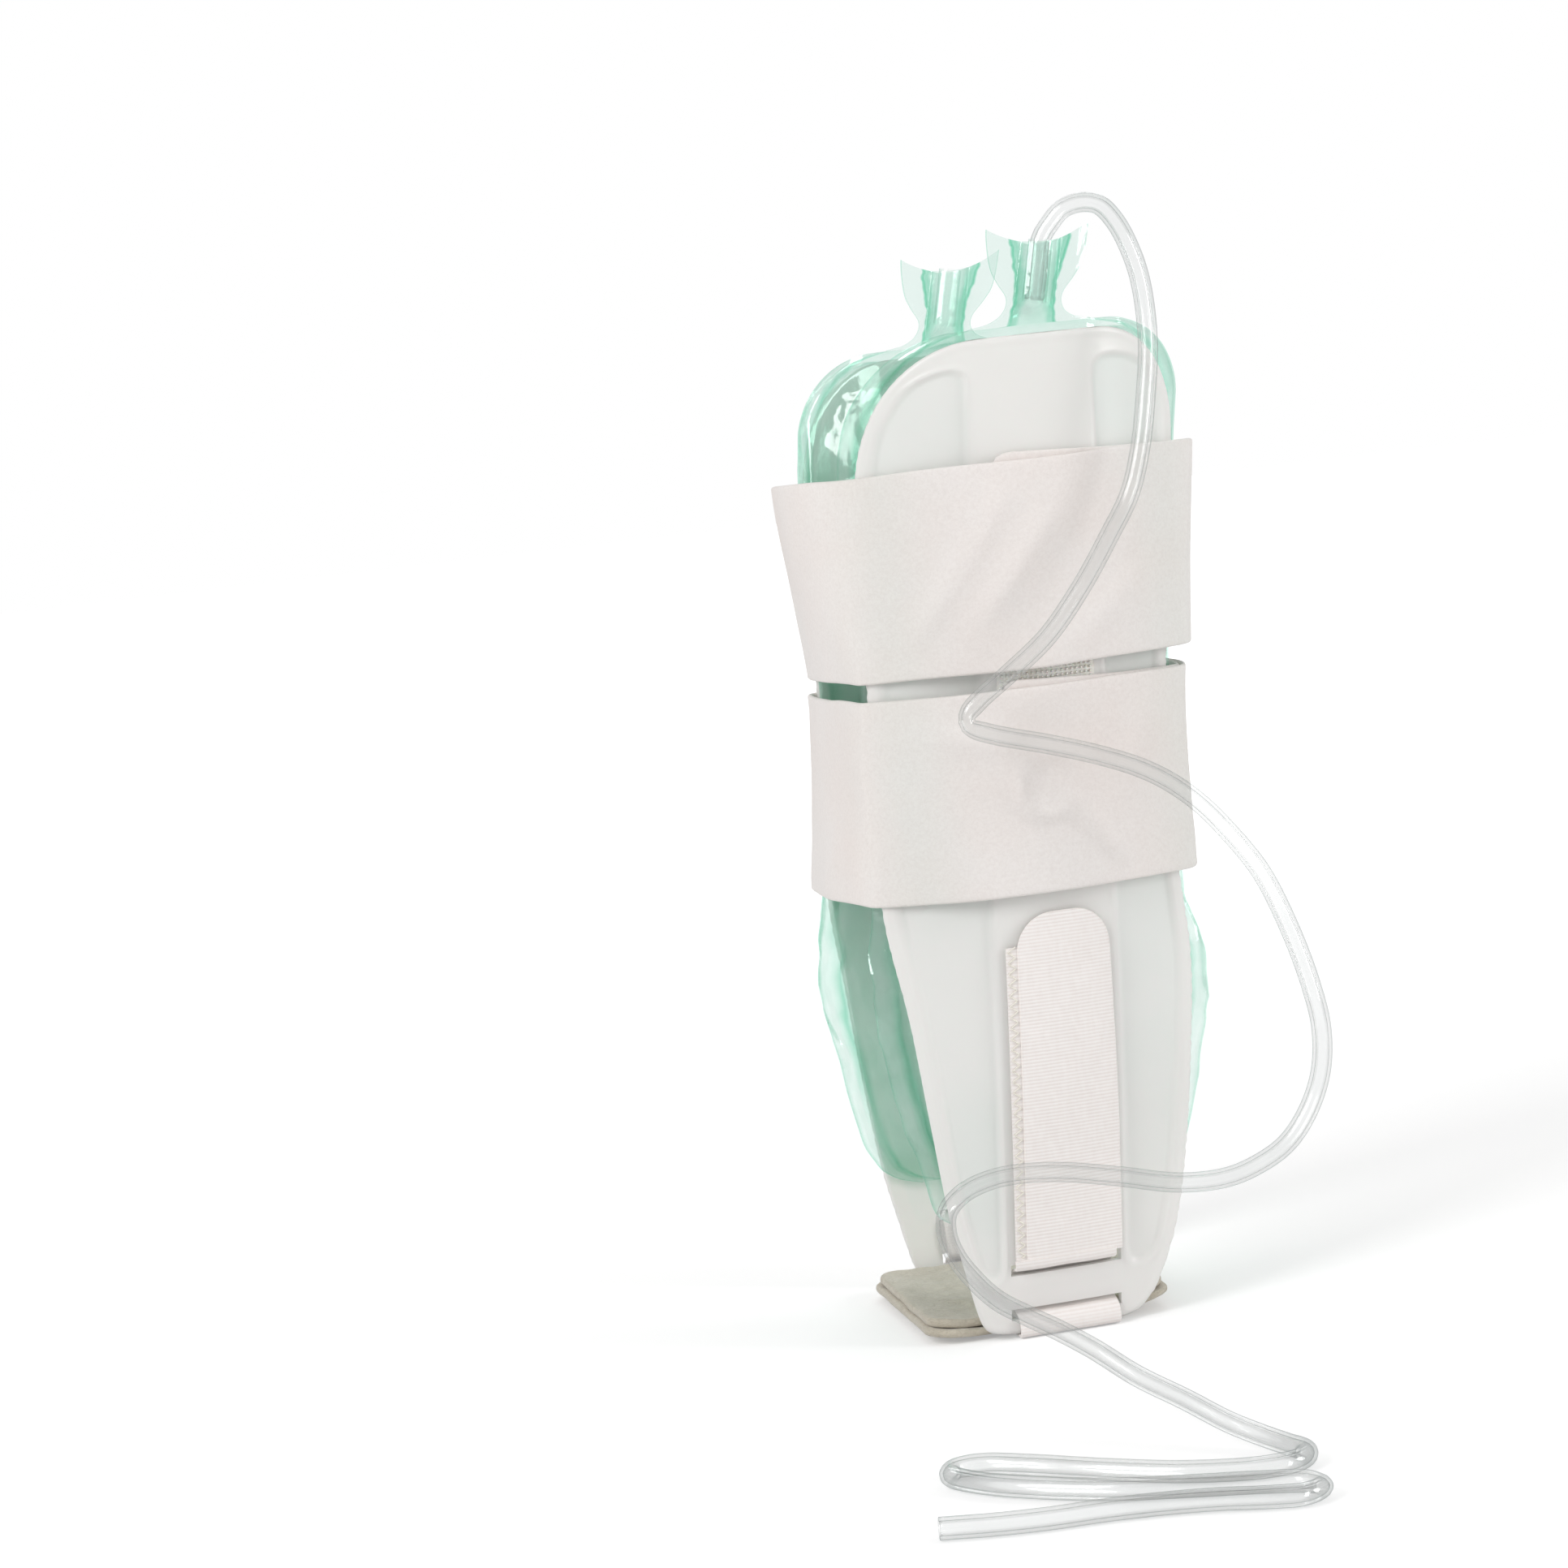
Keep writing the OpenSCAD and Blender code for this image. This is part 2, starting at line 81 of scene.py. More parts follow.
def P(a, z, d=0.0):
    a, z, d = np.broadcast_arrays(np.asarray(a, float), np.asarray(z, float), np.asarray(d, float))
    r = bend_r(z)
    w = a / r
    return np.stack([(r + d) * sin(w) + LEAN * z, -(half_y(z) - r) - (r + d) * cos(w), z], -1)


def corner(A, r, z0, h, z):
    return np.where(z <= z0, A, A - r + r * sqrt(np.maximum(0, 1 - ((z - z0) / h) ** 2)))


_front = curve([[1.2, 16.5], [1.9, 19.3], [3, 21], [6, 22.6], [17, 25.6], [33, 29.6], [59, 33.9], [84, 38], [113, 44.2], [166, 46.3], [200, 46.8], [260, 47]])
_back = curve([[1.2, 15.5], [1.9, 18.5], [3, 20.5], [7, 24], [12, 26.4], [22, 30], [37, 32.9], [67, 36.3], [92, 38.3], [113, 36.8], [157, 36.5], [200, 41], [222, 43.3], [260, 44]])


def front(z): return corner(_front(z), 34, 214, 35, np.asarray(z, float))
def back(z): return corner(_back(z), 26, 223, 26, np.asarray(z, float))


def ramp(a, b, z):
    t = np.clip((np.asarray(z, float) - a) / (b - a), 0, 1)
    return t * t * (3 - 2 * t)


# ------------------------------------------------------------------ smooth seeded noise
def _hash(i, j, k):
    v = sin(i * 127.1 + j * 311.7 + k * 74.7) * 43758.5453
    return v - np.floor(v)


def noise(x, y, seed=0):
    x, y = np.asarray(x, float), np.asarray(y, float)
    i, j = np.floor(x), np.floor(y)
    u, v = x - i, y - j
    u, v = u * u * u * (u * (6 * u - 15) + 10), v * v * v * (v * (6 * v - 15) + 10)
    a, b = _hash(i, j, seed), _hash(i + 1, j, seed)
    c, d = _hash(i, j + 1, seed), _hash(i + 1, j + 1, seed)
    return (a * (1 - u) * (1 - v) + b * u * (1 - v) + c * (1 - u) * v + d * u * v) * 2 - 1


def fbm(x, y, seed=0, n=3):
    return sum(noise(x * 2**k, y * 2**k, seed + k) * 0.5**k for k in range(n))


def ridged(x, y, seed=0, n=3):
    return sum((1 - 2 * abs(noise(x * 2**k, y * 2**k, seed + 9 * k))) * 0.5**k for k in range(n))


# ------------------------------------------------------------------ mesh helpers
def make(name, verts, faces, mat, smooth=True, attrs=None, sharp=None, fix=True, weld=0.0):
    me = bpy.data.meshes.new(name)
    me.from_pydata((np.asarray(verts, float) * S).tolist(), [], [list(map(int, f)) for f in faces])
    if attrs:
        for k, v in attrs.items():
            at = me.attributes.new(k, "FLOAT", "POINT")
            at.data.foreach_set("value", np.asarray(v, np.float32).ravel())
    ob = bpy.data.objects.new(name, me)
    bpy.context.scene.collection.objects.link(ob)
    if fix or weld:
        bm = bmesh.new()
        bm.from_mesh(me)
        if weld:
            bmesh.ops.remove_doubles(bm, verts=bm.verts, dist=weld * S)
            bmesh.ops.dissolve_degenerate(bm, dist=1e-7, edges=bm.edges)
        bmesh.ops.recalc_face_normals(bm, faces=bm.faces)
        bm.to_mesh(me)
        bm.free()
    me.validate()
    if smooth:
        me.shade_smooth()
        if sharp:
            me.set_sharp_from_angle(angle=math.radians(sharp))
    me.materials.append(mat)
    return ob


def sheet(name, A, Z, Dout, Din, mat, mask=None, flip=False, attrs=None, sharp=None, post=None, weld=0.0):
    """Closed sheet between two stand-offs of the leg surface; mask marks the cells that exist."""
    n, m = A.shape
    vo, vi = P(A, Z, Dout), P(A, Z, Din)
    if post is not None:
        vo, vi = post(vo, vi)
    V = np.concatenate([vo.reshape(-1, 3), vi.reshape(-1, 3)])
    if flip:
        V = V * np.array([1, -1, 1])
    if mask is None:
        mask = np.ones((n - 1, m - 1), bool)
    idx = np.arange(n * m).reshape(n, m)
    a, b, c, d = idx[:-1, :-1][mask], idx[:-1, 1:][mask], idx[1:, 1:][mask], idx[1:, :-1][mask]
    k = n * m
    F = [np.stack([a, b, c, d], -1), np.stack([a, d, c, b], -1) + k]
    pad = np.zeros((n + 1, m + 1), bool)
    pad[1:-1, 1:-1] = mask
    # walls where a cell meets no cell
    hz = pad[1:, 1:-1] != pad[:-1, 1:-1]      # horizontal edges: n x (m-1)
    i, j = np.nonzero(hz)
    up = pad[1:, 1:-1][i, j]
    p, q = idx[i, j], idx[i, j + 1]
    p, q = np.where(up, p, q), np.where(up, q, p)
    F.append(np.stack([q, p, p + k, q + k], -1))
    vt = pad[1:-1, 1:] != pad[1:-1, :-1]      # vertical edges: (n-1) x m
    i, j = np.nonzero(vt)
    rt = pad[1:-1, 1:][i, j]
    p, q = idx[i, j], idx[i + 1, j]
    p, q = np.where(rt, p, q), np.where(rt, q, p)
    F.append(np.stack([p, q, q + k, p + k], -1))
    F = np.concatenate(F)
    if flip:
        F = F[:, ::-1]
    used = np.unique(F)
    remap = np.full(len(V), -1)
    remap[used] = np.arange(len(used))
    at = None
    if attrs:
        at = {}
        for key, v in attrs.items():
            v = np.asarray(v, float)
            both = np.concatenate([v.ravel(), v.ravel()]) if v.size == n * m else v.ravel()
            at[key] = both[used]
    return make(name, V[used], remap[F], mat, attrs=at, sharp=sharp, fix=False, weld=weld)


def skin(name, A, Z, D, mat, flip=False, attrs=None, inward=False):
    """One film as one continuous surface of the leg form."""
    n, m = A.shape
    V = P(A, Z, D).reshape(-1, 3)
    if flip:
        V = V * np.array([1, -1, 1])
    idx = np.arange(n * m).reshape(n, m)
    F = np.stack([idx[:-1, :-1], idx[:-1, 1:], idx[1:, 1:], idx[1:, :-1]], -1).reshape(-1, 4)
    if flip != inward:
        F = F[:, ::-1]
    return make(name, V, F, mat, attrs={k: np.asarray(v, float).ravel() for k, v in (attrs or {}).items()}, fix=False)


def tube_mesh(name, line, r, mat, sides=16, bore=None, ends=(True, True)):
    """Round tube along a smooth line, with a bore if asked."""
    line = np.asarray(line, float)
    n = len(line)
    T = np.gradient(line, axis=0)
    T /= np.linalg.norm(T, axis=1)[:, None]
    u = np.array([0.0, 1.0, 0.0]) if abs(T[0][1]) < 0.8 else np.array([1.0, 0, 0])
    U = []
    for t in T:
        u = u - t * (u @ t)
        u /= np.linalg.norm(u)
        U.append(u)
    U = np.array(U)
    W = np.cross(T, U)
    ang = np.arange(sides) * 2 * math.pi / sides
    r = np.broadcast_to(np.asarray(r, float), (n,))

    def ring(rr):
        return (line[:, None] + rr[:, None, None] * (U[:, None] * cos(ang)[None, :, None] + W[:, None] * sin(ang)[None, :, None])).reshape(-1, 3)
    V = [ring(r)]
    idx = np.arange(n * sides).reshape(n, sides)
    nx = np.roll(idx, -1, 1)
    F = [np.stack([idx[:-1], nx[:-1], nx[1:], idx[1:]], -1).reshape(-1, 4)]
    if bore is not None:
        k = n * sides
        V.append(ring(np.broadcast_to(np.asarray(bore, float), (n,))))
        F.append(np.stack([idx[:-1], idx[1:], nx[1:], nx[:-1]], -1).reshape(-1, 4) + k)
        for e, order in ((0, 1), (n - 1, -1)):
            if not ends[0 if e == 0 else 1]:
                continue
            a, b = idx[e], nx[e]
            q = np.stack([a, a + k, b + k, b], -1)
            F.append(q if order == 1 else q[:, ::-1])
        F = np.concatenate(F).tolist()
    else:
        F = np.concatenate(F).tolist()
        if ends[0]:
            F.append(idx[0][::-1].tolist())
        if ends[1]:
            F.append(idx[-1].tolist())
    return make(name, np.concatenate(V), F, mat, fix=False)


def join(name, obs):
    """Joins pieces of one name into one mesh."""
    vs, fs, at, off = [], [], {}, 0
    keys = set(k.name for o in obs for k in o.data.attributes if k.data_type == "FLOAT" and k.domain == "POINT")
    mats = []
    mi = []
    for o in obs:
        me = o.data
        co = np.zeros(len(me.vertices) * 3, np.float32)
        me.vertices.foreach_get("co", co)
        vs.append(co.reshape(-1, 3))
        fs += [[v + off for v in p.vertices] for p in me.polygons]
        base = {}
        for s, m in enumerate(me.materials):
            if m not in mats:
                mats.append(m)
            base[s] = mats.index(m)
        mi += [base[p.material_index] for p in me.polygons]
        for k in keys:
            v = np.zeros(len(me.vertices), np.float32)
            if k in me.attributes:
                me.attributes[k].data.foreach_get("value", v)
            at.setdefault(k, []).append(v)
        off += len(me.vertices)
    me = bpy.data.meshes.new(name)
    me.from_pydata(np.concatenate(vs).tolist(), [], fs)
    for k in keys:
        a = me.attributes.new(k, "FLOAT", "POINT")
        a.data.foreach_set("value", np.concatenate(at[k]))
    for m in mats:
        me.materials.append(m)
    me.polygons.foreach_set("material_index", np.array(mi, np.int32))
    me.shade_smooth()
    for o in obs:
        old = o.data
        bpy.data.objects.remove(o)
        bpy.data.meshes.remove(old)
    ob = bpy.data.objects.new(name, me)
    bpy.context.scene.collection.objects.link(ob)
    return ob


# ------------------------------------------------------------------ materials
def mat_new(name):
    m = bpy.data.materials.new(name)
    m.use_nodes = True
    nt = m.node_tree
    nt.nodes.clear()
    out = nt.nodes.new("ShaderNodeOutputMaterial")
    return m, nt, out


def N(nt, kind, **kw):
    n = nt.nodes.new(kind)
    for k, v in kw.items():
        if k.startswith("_"):
            setattr(n, k[1:], v)
        else:
            n.inputs[k.replace("__", " ")].default_value = v
    return n


def L(nt, a, ai, b, bi):
    nt.links.new(a.outputs[ai], b.inputs[bi])


def principled(nt, out, **kw):
    p = nt.nodes.new("ShaderNodeBsdfPrincipled")
    for k, v in kw.items():
        p.inputs[k].default_value = v
    nt.links.new(p.outputs[0], out.inputs[0])
    return p


def coords(nt, scale=(1, 1, 1), rot=(0, 0, 0)):
    tc = nt.nodes.new("ShaderNodeTexCoord")
    mp = nt.nodes.new("ShaderNodeMapping")
    mp.inputs["Scale"].default_value = scale
    mp.inputs["Rotation"].default_value = rot
    nt.links.new(tc.outputs["Object"], mp.inputs["Vector"])
    return mp


def noise_tex(nt, vec, scale, detail=3, rough=0.5, dist=0.0):
    n = nt.nodes.new("ShaderNodeTexNoise")
    n.inputs["Scale"].default_value = scale
    n.inputs["Detail"].default_value = detail
    n.inputs["Roughness"].default_value = rough
    n.inputs["Distortion"].default_value = dist
    nt.links.new(vec.outputs[0], n.inputs["Vector"])
    return n


def rampn(nt, src, si, stops):
    r = nt.nodes.new("ShaderNodeValToRGB")
    els = r.color_ramp.elements
    while len(els) > 2:
        els.remove(els[-1])
    els[0].position, els[0].color = stops[0][0], (*stops[0][1], 1)
    els[1].position, els[1].color = stops[-1][0], (*stops[-1][1], 1)
    for p, c in stops[1:-1]:
        e = els.new(p)
        e.color = (*c, 1)
    nt.links.new(src.outputs[si], r.inputs[0])
    return r


def bump(nt, src, si, strength, dist_mm, base=None):
    b = nt.nodes.new("ShaderNodeBump")
    b.inputs["Strength"].default_value = strength
    b.inputs["Distance"].default_value = dist_mm * S
    nt.links.new(src.outputs[si], b.inputs["Height"])
    if base is not None:
        nt.links.new(base.outputs[0], b.inputs["Normal"])
    return b


def mixc(nt, fac, a, b, mode="MIX"):
    """Colour mix; fac, a and b may be values or (node, output) pairs."""
    m = nt.nodes.new("ShaderNodeMix")
    m.data_type = "RGBA"
    m.blend_type = mode
    for inp, v in ((m.inputs[0], fac), (m.inputs[6], a), (m.inputs[7], b)):
        if isinstance(v, tuple) and len(v) == 2 and hasattr(v[0], "outputs"):
            nt.links.new(v[0].outputs[v[1]], inp)
        elif isinstance(v, (int, float)):
            inp.default_value = v
        else:
            inp.default_value = (*v, 1)
    return m


def math_node(nt, op, a, b=None, clamp=False):
    m = nt.nodes.new("ShaderNodeMath")
    m.operation = op
    m.use_clamp = clamp
    for inp, v in ((m.inputs[0], a), (m.inputs[1], b)):
        if v is None:
            continue
        if isinstance(v, tuple):
            nt.links.new(v[0].outputs[v[1]], inp)
        else:
            inp.default_value = v
    return m


def attr_node(nt, name):
    a = nt.nodes.new("ShaderNodeAttribute")
    a.attribute_name = name
    return a


def see_through(nt, p, out, share, colour):
    """Lets a share of the light pass through a thin pale wall."""
    t = nt.nodes.new("ShaderNodeBsdfTranslucent")
    t.inputs["Color"].default_value = (*colour, 1)
    mx = nt.nodes.new("ShaderNodeMixShader")
    mx.inputs[0].default_value = share
    L(nt, p, 0, mx, 1)
    L(nt, t, 0, mx, 2)
    L(nt, mx, 0, out, 0)


# moulded shell: satin white, slightly see-through, greener and cooler where the wall is thin
def shell_material():
    m, nt, out = mat_new("shell_plastic")
    p = principled(nt, out)
    thin = attr_node(nt, "thin")
    c = coords(nt)
    cloud = noise_tex(nt, c, 26, 2, 0.5)
    tint = rampn(nt, cloud, 0, [(0.3, (0.925, 0.902, 0.878)), (0.7, (0.95, 0.928, 0.905))])
    green = rampn(nt, cloud, 0, [(0.3, (0.86, 0.895, 0.862)), (0.72, (0.925, 0.922, 0.895))])
    col = mixc(nt, (thin, 2), (tint, 0), (green, 0))
    L(nt, col, 2, p, "Base Color")
    fine = noise_tex(nt, c, 1700, 2, 0.6)
    wav = noise_tex(nt, c, 60, 2, 0.4)
    b1 = bump(nt, fine, 0, 0.10, 0.05)
    b2 = bump(nt, wav, 0, 0.12, 0.5, b1)
    L(nt, b2, 0, p, "Normal")
    rr = rampn(nt, wav, 0, [(0.3, (0.30,) * 3), (0.75, (0.42,) * 3)])
    L(nt, rr, 0, p, "Roughness")
    p.inputs["IOR"].default_value = 1.47
    p.inputs["Subsurface Weight"].default_value = 0.25
    p.inputs["Subsurface Radius"].default_value = (0.8, 1.0, 0.9)
    p.inputs["Subsurface Scale"].default_value = 0.003
    p.inputs["Coat Weight"].default_value = 0.12
    p.inputs["Coat Roughness"].default_value = 0.18
    see_through(nt, p, out, 0.15, (0.93, 0.95, 0.92))
    return m


def fabric_material(name, light, dark, warm, fibre=900, pile=0.35, tint_attr=None, spots=0.5):
    """Brushed loop fabric: a soft nap of short fibres over a knitted ground, with faint warm patches and, where an
    attribute is named, a painted green light from the film.
    """
    m, nt, out = mat_new(name)
    p = principled(nt, out, Roughness=0.92)
    c = coords(nt)
    nap = noise_tex(nt, c, fibre, 4, 0.65, 0.6)
    nap2 = noise_tex(nt, c, fibre * 2.6, 2, 0.6)
    patch = noise_tex(nt, c, 22, 3, 0.55)
    base = rampn(nt, nap, 0, [(0.32, dark), (0.62, light)])
    blotch = rampn(nt, patch, 0, [(0.42, (0, 0, 0)), (0.72, (1, 1, 1))])
    sc = math_node(nt, "MULTIPLY", (blotch, 0), spots)
    col = mixc(nt, (sc, 0), (base, 0), warm, "MULTIPLY")
    last = col
    # painted green light from the film, multiplied in where the named attribute says
    if tint_attr:
        ta = attr_node(nt, tint_attr)
        last = mixc(nt, (ta, 2), (col, 2), (0.80, 0.90, 0.86), "MULTIPLY")
    L(nt, last, 2, p, "Base Color")
    b1 = bump(nt, nap, 0, pile, 0.30)
    b2 = bump(nt, nap2, 0, pile * 0.8, 0.12, b1)
    L(nt, b2, 0, p, "Normal")
    p.inputs["Sheen Weight"].default_value = 0.35
    p.inputs["Sheen Roughness"].default_value = 0.45
    p.inputs["Specular IOR Level"].default_value = 0.15
    see_through(nt, p, out, 0.10, (0.93, 0.88, 0.85))
    return m


def rib_material():
    """Woven loop tape: fine crosswise ribs with short fuzzy yarns."""
    m, nt, out = mat_new("ribbed_tape")
    p = principled(nt, out, Roughness=0.88)
    c = coords(nt)
    w = nt.nodes.new("ShaderNodeTexWave")
    w.wave_type = "BANDS"
    w.bands_direction = "Z"
    w.inputs["Scale"].default_value = 357
    w.inputs["Distortion"].default_value = 0.5
    w.inputs["Detail"].default_value = 2
    w.inputs["Detail Scale"].default_value = 3.0
    L(nt, c, 0, w, "Vector")
    yarn = noise_tex(nt, coords(nt, (900, 900, 260)), 1.0, 3, 0.6)
    mix = math_node(nt, "ADD", (w, 1), (yarn, 0))
    half = math_node(nt, "MULTIPLY", (mix, 0), 0.5)
    base = rampn(nt, half, 0, [(0.2, (0.86, 0.80, 0.77)), (0.5, (0.915, 0.865, 0.84)), (0.8, (0.945, 0.91, 0.89))])
    L(nt, base, 0, p, "Base Color")
    b = bump(nt, half, 0, 0.30, 0.12)
    L(nt, b, 0, p, "Normal")
    p.inputs["Sheen Weight"].default_value = 0.3
    p.inputs["Sheen Roughness"].default_value = 0.4
    p.inputs["Specular IOR Level"].default_value = 0.2
    return m


def hook_material():
    m, nt, out = mat_new("hook_tape")
    p = principled(nt, out, Roughness=0.45)
    c = coords(nt)
    k = noise_tex(nt, c, 240, 3, 0.6)
    base = rampn(nt, k, 0, [(0.3, (0.885, 0.85, 0.775)), (0.7, (0.955, 0.94, 0.90))])
    L(nt, base, 0, p, "Base Color")
    b = bump(nt, noise_tex(nt, c, 1400, 2), 0, 0.25, 0.1)
    L(nt, b, 0, p, "Normal")
    p.inputs["Subsurface Weight"].default_value = 0.1
    p.inputs["Subsurface Scale"].default_value = 0.001
    return m


def felt_material():
    m, nt, out = mat_new("pressed_felt")
    p = principled(nt, out, Roughness=0.97)
    c = coords(nt)
    f1 = noise_tex(nt, coords(nt, (1, 1, 2.4)), 520, 5, 0.72, 1.4)
    f2 = noise_tex(nt, c, 2100, 3, 0.6, 0.8)
    patch = noise_tex(nt, c, 55, 3, 0.5)
    base = rampn(nt, f1, 0, [(0.28, (0.42, 0.37, 0.285)), (0.5, (0.60, 0.545, 0.44)), (0.75, (0.76, 0.705, 0.59))])
    col = mixc(nt, 0.35, (base, 0), (rampn(nt, patch, 0, [(0.35, (0.50, 0.445, 0.355)), (0.7, (0.74, 0.69, 0.59))]), 0))
    L(nt, col, 2, p, "Base Color")
    b1 = bump(nt, f1, 0, 0.8, 0.5)
    b2 = bump(nt, f2, 0, 0.5, 0.15, b1)
    L(nt, b2, 0, p, "Normal")
    p.inputs["Sheen Weight"].default_value = 0.5
    p.inputs["Sheen Roughness"].default_value = 0.5
    p.inputs["Specular IOR Level"].default_value = 0.1
    return m


def film_material(name, pale, deep, gloss=0.07, haze=0.10):
    """Clear green film: tinted where it is seen at a slant or where two layers are welded, with soft window highlights."""
    m, nt, out = mat_new(name)
    lw = nt.nodes.new("ShaderNodeLayerWeight")
    lw.inputs["Blend"].default_value = 0.42
    weld = attr_node(nt, "weld")
    c = coords(nt)
    cloud = noise_tex(nt, c, 70, 3, 0.6)
    edge = math_node(nt, "POWER", (lw, 1), 1.6)
    depth = math_node(nt, "ADD", (edge, 0), (math_node(nt, "MULTIPLY", (weld, 2), 0.75), 0))
    var = math_node(nt, "MULTIPLY", (math_node(nt, "SUBTRACT", (cloud, 0), 0.5), 0), 0.35)
    total = math_node(nt, "ADD", (depth, 0), (var, 0), clamp=True)
    col = mixc(nt, (total, 0), pale, deep)
    tr = nt.nodes.new("ShaderNodeBsdfTransparent")
    L(nt, col, 2, tr, "Color")
    gl = nt.nodes.new("ShaderNodeBsdfGlossy")
    gl.inputs["Roughness"].default_value = gloss
    gl.inputs["Color"].default_value = (1, 1, 1, 1)
    bw = bump(nt, noise_tex(nt, c, 130, 3, 0.55), 0, 0.35, 0.5)
    L(nt, bw, 0, gl, "Normal")
    df = nt.nodes.new("ShaderNodeBsdfDiffuse")
    L(nt, mixc(nt, 0.5, (col, 2), (0.80, 0.95, 0.90)), 2, df, "Color")
    trl = nt.nodes.new("ShaderNodeBsdfTranslucent")
    L(nt, mixc(nt, 0.5, (col, 2), (0.80, 0.95, 0.90)), 2, trl, "Color")
    soft = nt.nodes.new("ShaderNodeMixShader")
    soft.inputs[0].default_value = 0.5
    L(nt, df, 0, soft, 1); L(nt, trl, 0, soft, 2)
    body = nt.nodes.new("ShaderNodeMixShader")
    hz = math_node(nt, "ADD", (math_node(nt, "MULTIPLY", (total, 0), haze * 1.2), 0), haze, clamp=True)
    L(nt, hz, 0, body, 0); L(nt, tr, 0, body, 1); L(nt, soft, 0, body, 2)
    fr = nt.nodes.new("ShaderNodeFresnel")
    fr.inputs["IOR"].default_value = 1.45
    L(nt, bw, 0, fr, "Normal")
    mx = nt.nodes.new("ShaderNodeMixShader")
    L(nt, math_node(nt, "MINIMUM", (math_node(nt, "ADD", (fr, 0), 0.03), 0), 0.26), 0, mx, 0)
    L(nt, body, 0, mx, 1); L(nt, gl, 0, mx, 2)
    L(nt, mx, 0, out, 0)
    return m


def tube_material():
    """Clear soft tube: painted grey shade where either surface is seen edge-on, standing in for the refraction of
    darker surroundings; long window highlights, a faint milkiness.
    """
    m, nt, out = mat_new("clear_tube")
    c = coords(nt)
    lw = nt.nodes.new("ShaderNodeLayerWeight")
    lw.inputs["Blend"].default_value = 0.5
    # painted shade: the facing weight greys the see-through colour at the silhouettes
    edge = math_node(nt, "POWER", (lw, 1), 3.6)
    cloud = noise_tex(nt, c, 45, 2, 0.5)
    var = math_node(nt, "MULTIPLY", (math_node(nt, "SUBTRACT", (cloud, 0), 0.5), 0), 0.12)
    k = math_node(nt, "ADD", (edge, 0), (var, 0), clamp=True)
    col = mixc(nt, (k, 0), (0.992, 0.995, 0.994), (0.585, 0.625, 0.62))
    tr = nt.nodes.new("ShaderNodeBsdfTransparent")
    L(nt, col, 2, tr, "Color")
    df = nt.nodes.new("ShaderNodeBsdfDiffuse")
    df.inputs["Color"].default_value = (0.93, 0.96, 0.955, 1)
    body = nt.nodes.new("ShaderNodeMixShader")
    L(nt, math_node(nt, "ADD", (math_node(nt, "MULTIPLY", (k, 0), 0.10), 0), 0.012, clamp=True), 0, body, 0)
    L(nt, tr, 0, body, 1)
    L(nt, df, 0, body, 2)
    gl = nt.nodes.new("ShaderNodeBsdfGlossy")
    L(nt, rampn(nt, cloud, 0, [(0.3, (0.07,) * 3), (0.8, (0.13,) * 3)]), 0, gl, "Roughness")
    fr = nt.nodes.new("ShaderNodeFresnel")
    fr.inputs["IOR"].default_value = 1.5
    mx = nt.nodes.new("ShaderNodeMixShader")
    L(nt, math_node(nt, "MINIMUM", (math_node(nt, "ADD", (fr, 0), 0.005), 0), 0.27), 0, mx, 0)
    L(nt, body, 0, mx, 1)
    L(nt, gl, 0, mx, 2)
    L(nt, mx, 0, out, 0)
    return m


def thread_material():
    m, nt, out = mat_new("sewing_thread")
    p = principled(nt, out, Roughness=0.6)
    c = coords(nt)
    tw = noise_tex(nt, c, 2600, 2, 0.6)
    base = rampn(nt, tw, 0, [(0.3, (0.80, 0.765, 0.66)), (0.7, (0.93, 0.91, 0.83))])
    L(nt, base, 0, p, "Base Color")
    L(nt, bump(nt, tw, 0, 0.5, 0.08), 0, p, "Normal")
    p.inputs["Sheen Weight"].default_value = 0.2
    return m


M_SHELL = shell_material()
# the strap's named attribute carries a painted green light from the film
M_STRAP = fabric_material("brushed_loop", (0.945, 0.905, 0.88), (0.885, 0.838, 0.812), (0.985, 0.935, 0.915), 1300, 0.26, "cool", 0.65)
M_LOOP = fabric_material("loop_patch", (0.90, 0.89, 0.87), (0.79, 0.78, 0.76), (0.97, 0.95, 0.93), 900, 0.4)
M_RIB = rib_material()
M_HOOK = hook_material()
M_FELT = felt_material()
M_FILM = film_material("cell_film", (0.93, 0.985, 0.965), (0.30, 0.77, 0.59), 0.06, 0.09)
M_FILM_IN = film_material("cell_film_inner", (0.93, 0.985, 0.965), (0.38, 0.79, 0.63), 0.09, 0.10)
M_VALVE = film_material("valve_sleeve", (0.975, 0.994, 0.986), (0.74, 0.94, 0.87), 0.10, 0.035)
M_TUBE = tube_material()
M_THREAD = thread_material()


# ------------------------------------------------------------------ shells
def outline_points():
    z = np.concatenate([np.linspace(1.2, 6, 60), np.linspace(6, 214, 260), 214 + 35 * sin(np.linspace(0, math.pi / 2, 160))])
    f = np.stack([-front(z), z], -1)
    b = np.stack([back(z), z], -1)
    top = np.stack([np.linspace(-front(249), back(249), 60), np.full(60, 249.0)], -1)
    bot = np.stack([np.linspace(-front(1.2), back(1.2), 60), np.full(60, 1.2)], -1)
    return np.concatenate([f, b, top, bot])


def edge_distance(A, Z, pts):
    q = np.stack([A.ravel(), Z.ravel()], -1)
    out = np.empty(len(q))
    for k in range(0, len(q), 4000):
        out[k:k + 4000] = sqrt(((q[k:k + 4000, None] - pts[None]) ** 2).sum(-1)).min(1)
    return out.reshape(A.shape)


def smin(a, b, k):
    h = np.clip(0.5 + 0.5 * (b - a) / k, 0, 1)
    return b * (1 - h) + a * h - k * h * (1 - h)


SLOTS = [(4.65, 7.55), (16.25, 19.15)]


